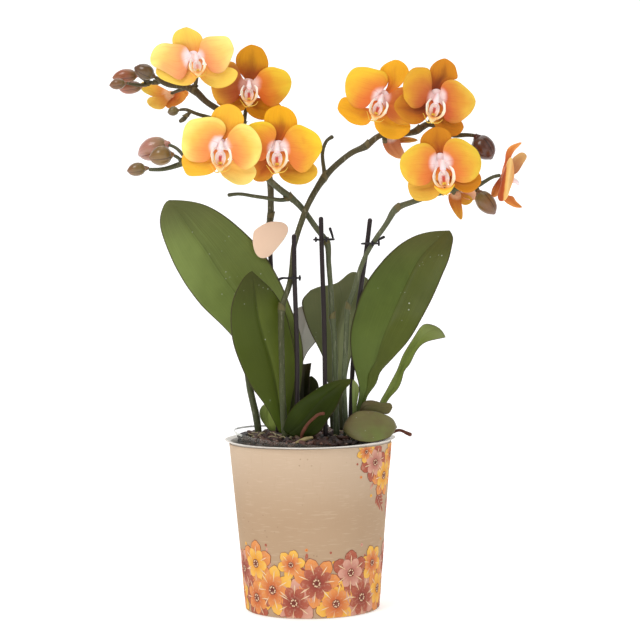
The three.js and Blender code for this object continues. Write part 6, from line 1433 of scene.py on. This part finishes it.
for i, f in enumerate(FLOWERS, 1):
    rim, body, flush, heart, sbody, sflush = LOOKS[i]
    pm = petal_mat(f"petal_{i}", rim, body, flush, heart, lean=0.42)
    sm = petal_mat(f"sepal_{i}", tuple(min(255, int(x * 1.04)) for x in sbody), sbody, sflush, sflush, 0.22, heart_to=0.06, flush_to=0.66, dark=SEPAL_DARK[i])
    own, extra = {}, []
    for (q, key), cols in SHADED.items():
        if q == i:
            own[key] = 3 + len(extra)
            extra.append(petal_mat(f"tepal_{i}_{key}", *cols, lean=0.3) if key in ("L", "R") else petal_mat(f"tepal_{i}_{key}", *cols, 0.22, heart_to=0.06, flush_to=0.66, dark=SEPAL_DARK[i]))
    s = Shape()
    ball(s, at(f["c"][0], f["c"][1], f["y"] + 0.8), 2.6, 2.0, 2.6, 0)
    # the claws of the petals run together behind the lip
    a_, g_ = np.linspace(0, 2 * np.pi, 33), np.linspace(0.03, 1, 9)
    R_ = 13.6 * f["k"] * g_[:, None] * (1 + 0.05 * np.sin(3 * a_ + i))[None]
    U_, V_ = f["c"][0] + 0.85 * R_ * np.cos(a_)[None], f["c"][1] + 4.2 * f["k"] + R_ * np.sin(a_)[None]
    P = at_grid(U_, V_, f["y"] + 1.3 + 0.3 * g_[:, None] * np.ones((1, 33)))
    P[..., 1] += f["face"][0] * (P[..., 0] - at(f["c"][0], f["c"][1], f["y"])[0]) + f["face"][1] * (P[..., 2] - at(f["c"][0], f["c"][1], f["y"])[2])
    slab(s, P, np.full(P.shape[:2], 0.35), np.stack([0.10 + 0.5 * np.clip((V_ - f["c"][1]) / (9 * f["k"]), 0, 1) + 0.08 * g_[:, None], np.full(P.shape[:2], 0.8)], 2), 0, 0, 0)
    for j, key in enumerate(("D", "LL", "LR")):
        P, G, A = tepal_sheet(f["c"], f[key], f["y"] + 1.9, f["y"] + 2.3, 0.9, -0.9, f["face"], i * 7 + j * 1.3, False)
        put_sheet(s, P, G, A, mf=own.get(key, 2), mb=1)
    for j, key in enumerate(("L", "R")):
        P, G, A = tepal_sheet(f["c"], f[key], f["y"], f["y"] + 0.6, -1.6, 1.3, f["face"], i * 7 + 4.1 + j * 1.7, True)
        put_sheet(s, P, G, A, mf=own.get(key, 0), mb=1)
    s.build(f"flower_{i}_petals", [pm, PETAL_BACK, sm] + extra, node=f"flower_{i}_tepals")

    u, v = f["lip"]
    y0, k, wide = f["y"] - 3.6, f["k"], f["w"]
    co, si = math.cos(math.radians(f["turn"])), math.sin(math.radians(f["turn"]))
    Q = lambda du, dv, dy: at(u + (du * co - dv * si) * k, v + (du * si + dv * co) * k, y0 + dy)
    s = Shape()
    # column: a short pale hood over the throat, with a rounded cap
    tube(s, spline([Q(0, -14, 1.2), Q(0, -10.5, -0.6), Q(0, -6.5, -1.7), Q(0, -3.6, -1.5)], 18), np.interp(np.linspace(0, 1, 18), [0, 0.45, 0.8, 1], [1.1, 1.6, 2.0, 1.3]) * k, 16, 1)
    ball(s, Q(0, -4.4, -2.6), 1.45 * k, 1.1, 1.3 * k, 1, 10, 14, (0.95, 0.5))
    # throat: a hollowed shield between the side lobes
    tt = np.linspace(-1, 1, 13)
    gg = np.linspace(0, 1, 15)
    hw = np.interp(gg, [0, 0.2, 0.5, 0.8, 1], [1.6, 4.6, 5.6, 4.4, 1.6])
    P = np.array([[Q(t_ * h, -5.0 + 17.0 * g, 1.9 - 1.6 * t_ * t_ - 2.0 * g**2) for t_ in tt] for g, h in zip(gg, hw)])
    slab(s, P, np.full(P.shape[:2], 0.5), np.stack([np.repeat(gg[:, None], 13, 1), np.repeat(((tt + 1) / 2)[None], 15, 0)], 2), 2, 2, 2)
    for sg in (-1, 1):
        ball(s, Q(sg * 0.95, 8.6, -1.6), 0.6 * k, 0.7, 0.9 * k, 4, 8, 10)
    # side lobes: thin flaps seen almost edge on, curving up like horns
    for sg in (-1, 1):
        wob = 1 + 0.08 * math.sin(i * 2.1 + sg)
        mid = spline([Q(sg * 1.3, 12, -2.0), Q(sg * 4.4 * wob, 11.4, -2.6), Q(sg * 7.6 * wob, 8.6, -3.0), Q(sg * 9.6 * wob, 3, -3.1), Q(sg * 9.2, -3.4, -2.7), Q(sg * 6.6, -8.2, -1.9)], 34)
        T = unit(np.gradient(mid, axis=0))
        rad_ = unit(mid - Q(0, 2, -2))
        wd = unit(rad_ * 0.45 + np.array([0, -0.9, 0]))
        wd = unit(wd - T * np.sum(wd * T, axis=1)[:, None])
        g = np.linspace(0, 1, 34)
        wv = np.interp(g, [0, 0.25, 0.6, 0.85, 1], [1.2, 2.2, 2.8, 2.0, 0.5]) * k
        tt = np.linspace(-1, 1, 9)
        P = mid[:, None] + wd[:, None] * (tt[None] * wv[:, None] / 2)[..., None]
        P = P + np.cross(T, wd)[:, None] * (0.45 * (tt[None] ** 2) + 0.12 * np.sin(g * 17)[:, None] * tt[None])[..., None]
        th = np.interp(g, [0, 0.5, 1], [0.95, 0.8, 0.4])[:, None] * np.ones((1, 9))
        slab(s, P, th, np.stack([np.repeat(g[:, None], 9, 1), np.repeat(((tt + 1) / 2)[None], 34, 0)], 2), 0, 0, 0)
    # middle lobe: an anchor-shaped flap with raised tips, and two curled threads
    big = wide > 8
    tt, gg = np.linspace(-1, 1, 25), np.linspace(0, 1, 9)
    top = (13.4 - 3.6 * np.abs(tt) ** 1.5) if big else (11.6 - 1.2 * np.abs(tt))
    low = (19.8 - 9.0 * np.abs(tt) ** 1.9) if big else (18.6 - 7.6 * np.abs(tt) ** 1.25)
    P = np.array([[Q(t_ * wide, a_ * (1 - g) + b_ * g, -3.2 - 0.6 * math.sin(g * 3) + 1.2 * abs(t_) ** 1.6) for t_, a_, b_ in zip(tt, top, low)] for g in gg])
    slab(s, P, np.full(P.shape[:2], 0.5), np.stack([np.repeat(np.linspace(0.1, 1, 9)[:, None], 25, 1), np.repeat(((tt + 1) / 2)[None], 9, 0)], 2), 3, 3, 3)
    for sg in (-1, 1):
        if big:
            tube(s, spline([Q(sg * 0.8, 19.0, -3.5), Q(sg * 2.2, 20.6, -3.8), Q(sg * 3.8, 19.6, -4.2)], 12), np.linspace(0.3, 0.14, 12), 8, 4)
        else:
            tube(s, spline([Q(sg * 0.8, 17.8, -3.5), Q(sg * 3.8, 18.0 - sg * 0.6, -3.9), Q(sg * 8.0, 15.0 + sg, -4.2), Q(sg * 11.2, 10.8 + sg, -4.1)], 22), np.linspace(0.36, 0.15, 22), 8, 4)
    s.build(f"flower_{i}_labellum", [LIP_SIDE, LIP_COLUMN, LIP_THROAT_PALE if i == 1 else LIP_THROAT, LIP_MID_YELLOW if wide > 8 else LIP_MID, LIP_CALLUS], node=f"flower_{i}_lip")


def petal_set(name, cols, **kw):
    return petal_mat(name, *cols, **kw)


TURNED_LOOKS = {
    "flower_8_side": [((244, 168, 92), (222, 134, 62), (196, 92, 54), (226, 150, 110)), ((250, 214, 112), (206, 104, 44), (150, 50, 34), (168, 66, 48)),
                      ((228, 176, 110), (210, 150, 96), (186, 116, 74), (200, 150, 120)), ((232, 152, 78), (206, 116, 56), (176, 80, 46), (200, 120, 90)), ((226, 146, 66), (200, 112, 48), (172, 82, 42), (200, 120, 90))],
    "flower_9_hidden": [((228, 164, 108), (216, 148, 100), (198, 122, 84), (226, 200, 188)), ((206, 160, 76), (198, 140, 66), (184, 116, 60), (200, 140, 100)), ((226, 150, 60), (206, 124, 50), (180, 90, 46), (210, 140, 100))],
    "flower_10_hidden": [((226, 164, 60), (214, 138, 50), (188, 104, 42), (220, 170, 130)), ((240, 186, 66), (224, 156, 54), (200, 116, 50), (226, 164, 120)), ((252, 206, 176), (246, 190, 150), (232, 150, 110), (252, 226, 206)), ((236, 170, 60), (216, 140, 50), (190, 100, 46), (220, 160, 110))],
    "flower_11_hidden": [((254, 222, 96), (248, 196, 74), (232, 150, 72), (246, 196, 150)), ((252, 208, 96), (242, 178, 70), (226, 140, 66), (240, 186, 140)), ((240, 160, 66), (228, 136, 56), (206, 104, 52), (234, 170, 120)), ((238, 168, 74), (222, 140, 60), (202, 108, 56), (232, 170, 120))],
}
for name, (h, *petals) in TURNED.items():
    s = Shape()
    hub = at(*h[:3])
    ball(s, hub, 2.3, 2.3, 2.3, 0)
    mats = [petal_mat(f"{name}_{j}", *cols, flush_to=0.72) for j, cols in enumerate(TURNED_LOOKS[name])]
    if name == "flower_8_side":
        # painted shade: the near petal is painted dark red-brown on the half turned from the light and pale yellow on
        # the lit half
        two = Mat("flower_8_near_painted_shade", 0.55, Specular_IOR_Level=0.18)
        sep_ = two.node("ShaderNodeSeparateXYZ")
        two.put(sep_.inputs[0], two.obj())
        across = two.math("ADD", two.math("MULTIPLY", two.math("SUBTRACT", sep_.outputs[0], at(505.3, 182, -18)[0] / 1000), 1000.0), two.math("MULTIPLY", two.math("SUBTRACT", sep_.outputs[2], at(505.3, 182, -18)[2] / 1000), -110.0))
        across = two.math("ADD", across, two.math("MULTIPLY", two.math("SUBTRACT", two.noise(150, 3), 0.5), 1.6))
        two.color(two.ramp(two.mapr(across, -5.0, 5.0), [(0.0, lin(206, 112, 60)), (0.28, lin(172, 74, 38)), (0.46, lin(190, 88, 44)), (0.54, lin(240, 184, 100)), (0.78, lin(250, 212, 138)), (1.0, lin(226, 140, 66))]))
        mats[1] = two.mat
    back = len(mats)
    for j, (L, T, R, y0, y1, bow, rim) in enumerate(petals):
        P, G, A = tepal_sheet(h[:2], (L, T, R), y0, y1, bow, rim, (0, 0), 5.1 + j + len(name), False, 36, 19)
        put_sheet(s, P, G, A, mf=j, mb=back)
    if name == "flower_8_side":
        # its lip, half seen, points away to the right
        tube(s, spline([at(507, 178, -8), at(512, 180, -10), at(516, 181.5, -9.5), at(518, 184, -8)], 16), np.interp(np.linspace(0, 1, 16), [0, 0.5, 1], [1.5, 1.8, 0.9]), 12, back + 1)
    s.build(name + "_petals", mats + [PETAL_BACK, LIP_COLUMN], node=name)


# ------------------------------------------------------------------ buds
def bud_mat(name, low, mid, top, seam, gloss=0.34):
    m = Mat(name, gloss, Specular_IOR_Level=0.35, Coat_Weight=0.6, Coat_Roughness=0.12)
    u, v, uvv = m.uv()
    c = m.mix(m.mapr(u, 0.0, 0.5), lin(*low), lin(*mid))
    c = m.mix(m.mapr(u, 0.5, 1.0), c, lin(*top))
    c = m.mix(m.math("MULTIPLY", m.mapr(m.noise(160, 3), 0.4, 0.7), 0.35), c, lin(*low))
    line = m.math("ABSOLUTE", m.math("SUBTRACT", m.math("FRACT", m.math("MULTIPLY", v, 3.0)), 0.5))
    c = m.mix(m.math("MULTIPLY", m.mapr(line, 0.455, 0.495), 0.8), c, lin(*seam))
    vein = m.noise(1.0, 2, 0.5, vec=m.stretch(2.0, 70.0, 1.0, uvv))
    c = m.mix(m.math("MULTIPLY", m.mapr(vein, 0.5, 0.7), 0.3), c, lin(*seam))
    m.color(c)
    m.bump(m.math("ADD", vein, m.noise(700, 2)), 0.15, 0.0002)
    return m.mat


BUD_LOOKS = {
    "bud_tip_upper": ((124, 96, 50), (160, 88, 58), (170, 96, 66), (88, 40, 30)),
    "bud_tip_lower": ((124, 96, 54), (160, 92, 62), (172, 100, 74), (92, 44, 34)),
    "bud_tip_small": ((104, 86, 40), (122, 82, 48), (136, 88, 58), (72, 40, 26)),
    "bud_round_brown": ((96, 80, 40), (98, 70, 38), (104, 70, 44), (56, 34, 20)),
    "bud_tiny": ((112, 106, 58), (116, 98, 54), (108, 76, 46), (74, 54, 30)),
    "bud_pink": ((150, 126, 84), (184, 126, 108), (200, 146, 132), (112, 58, 50)),
    "bud_olive": ((112, 90, 44), (136, 104, 54), (142, 102, 62), (78, 48, 26)),
    "bud_low_left": ((120, 104, 56), (126, 96, 56), (136, 92, 60), (80, 50, 30)),
    "bud_maroon": ((86, 50, 24), (84, 38, 18), (92, 44, 24), (40, 16, 8)),
    "bud_drooping": ((132, 112, 60), (126, 86, 46), (112, 62, 36), (60, 34, 18)),
}
for name, (u0, v0, y0, u1, v1, y1, r) in BUDS.items():
    a, b = at(u0, v0, y0), at(u1, v1, y1)
    t = b - a
    sd = unit(np.cross([0, 1, 0], t))
    o = np.cross(unit(t), sd)
    n, m = 34, 48
    f = (1 - np.cos(np.linspace(0, math.pi, n))) / 2
    prof = spline(np.c_[[0, 0.10, 0.30, 0.50, 0.72, 0.90, 1.0], [0.0, 0.58, 0.93, 1.0, 0.84, 0.46, 0.0]], 200)
    wv = np.maximum(np.interp(f, prof[:, 0], prof[:, 1]), 0.0)
    wv = np.maximum(wv, np.sqrt(np.clip(f * (1 - f), 0, 1)) * 1.2 * (np.minimum(f, 1 - f) < 0.08))
    ph = 2 * np.pi * np.arange(m) / m
    g = (ph * 3 / (2 * np.pi)) % 1.0
    dent = np.exp(-((np.minimum(g, 1 - g)) / 0.06) ** 2)
    rr = r * wv[:, None] * (1 - 0.07 * dent[None] * np.clip(f * 3, 0, 1)[:, None] + 0.04 * np.cos(3 * ph + math.pi)[None] * f[:, None])
    P = a + t * f[:, None, None] + sd * (np.cos(ph)[None] * rr)[..., None] + o * (np.sin(ph)[None] * rr)[..., None]
    P = P + sd * (0.05 * r * np.sin(f * 4))[:, None, None]
    s = Shape()
    uv = np.stack([np.repeat(f[:, None], m, 1), np.repeat((ph / (2 * np.pi))[None], n, 0)], 2)
    V = np.vstack([P[1:-1].reshape(-1, 3), P[0].mean(0)[None], P[-1].mean(0)[None]])
    UV = np.vstack([uv[1:-1].reshape(-1, 2), [[0, 0.1]], [[1, 0.1]]])
    F = grid_faces(n - 2, m, wrap=True, flip=True)
    c0, c1, last = (n - 2) * m, (n - 2) * m + 1, (n - 3) * m
    F += [(c0, (j + 1) % m, j) for j in range(m)] + [(c1, last + j, last + (j + 1) % m) for j in range(m)]
    s.add(V, F, UV)
    # little calyx where the stalk meets it
    reach_ = 0.11 if name == "bud_low_left" else 0.02
    tube(s, np.array([a - t * reach_, a + t * 0.05, a + t * 0.12]), np.array([0.24, 0.42, 0.30]) * r, 14, 0)
    s.build(name + "_skin", [bud_mat(name, *BUD_LOOKS[name])], node=name)


# ------------------------------------------------------------------ floor, light and camera
def sweep():
    prof = [(-2.5, 0.0), (-1.0, 0.0), (0.0, 0.0), (0.9, 0.0)]
    prof += [(0.9 + 0.9 * math.sin(a), 0.9 - 0.9 * math.cos(a)) for a in np.linspace(0.08, math.pi / 2, 16)]
    prof += [(1.8, 1.6), (1.8, 3.0)]
    V = [(x, y, z) for x in (-3.0, 3.0) for y, z in prof]
    n = len(prof)
    me = bpy.data.meshes.new("studio_sweep")
    me.from_pydata(V, [], [(i, n + i, n + i + 1, i + 1) for i in range(n - 1)])
    me.polygons.foreach_set("use_smooth", [True] * (n - 1))
    ob = bpy.data.objects.new("studio_sweep", me)
    bpy.context.scene.collection.objects.link(ob)
    m = Mat("studio_white", 0.9, Specular_IOR_Level=0.1, Emission_Color=(1, 1, 1, 1), Emission_Strength=0.42)
    m.color(m.mix(m.noise(2.0, 2), (0.93, 0.93, 0.93, 1), (0.95, 0.95, 0.95, 1)))
    me.materials.append(m.mat)


sweep()
scene = bpy.context.scene
world = scene.world or bpy.data.worlds.new("studio")
scene.world = world
world.use_nodes = True
bg = next((n for n in world.node_tree.nodes if n.type == "BACKGROUND"), None) or world.node_tree.nodes.new("ShaderNodeBackground")
bg.inputs[0].default_value = (1, 1, 1, 1)
bg.inputs[1].default_value = 0.40


def area(name, at_, look, size, watts, tone=(1, 1, 1)):
    d = bpy.data.lights.new(name, "AREA")
    d.shape, d.size, d.energy, d.color = "SQUARE", size, watts, tone
    ob = bpy.data.objects.new(name, d)
    ob.location = at_
    ob.rotation_mode = "QUATERNION"
    ob.rotation_quaternion = (Vector(look) - Vector(at_)).to_track_quat("-Z", "Y")
    scene.collection.objects.link(ob)
    return ob


area("key", (-0.75, -1.1, 1.25), (0, 0, 0.2), 0.8, 12.0, (1, 0.985, 0.96))
area("fill", (1.1, -0.9, 0.7), (0, 0, 0.2), 1.0, 2.2)
area("top", (0.1, 0.2, 1.6), (0, 0, 0.2), 1.2, 6.0)

cam_data = bpy.data.cameras.new("front_eye")
cam_data.sensor_fit = "AUTO"
cam_data.sensor_width = 36.0
cam_data.lens = 36.0 * EYE["reach"] / 642.0
cam_data.dof.use_dof = False
cam_data.clip_start, cam_data.clip_end = 0.05, 20.0
cam = bpy.data.objects.new("front_eye", cam_data)
scene.collection.objects.link(cam)
M = Matrix.Identity(4)
for r in range(3):
    M[r][0], M[r][1], M[r][2], M[r][3] = ACR[r], ALO[r], -FWD[r], EYE_AT[r] * MM
cam.matrix_world = M
scene.camera = cam
scene.view_settings.view_transform = "Standard"
scene.view_settings.look = "None"
scene.view_settings.exposure = 0.0
scene.view_settings.gamma = 1.0
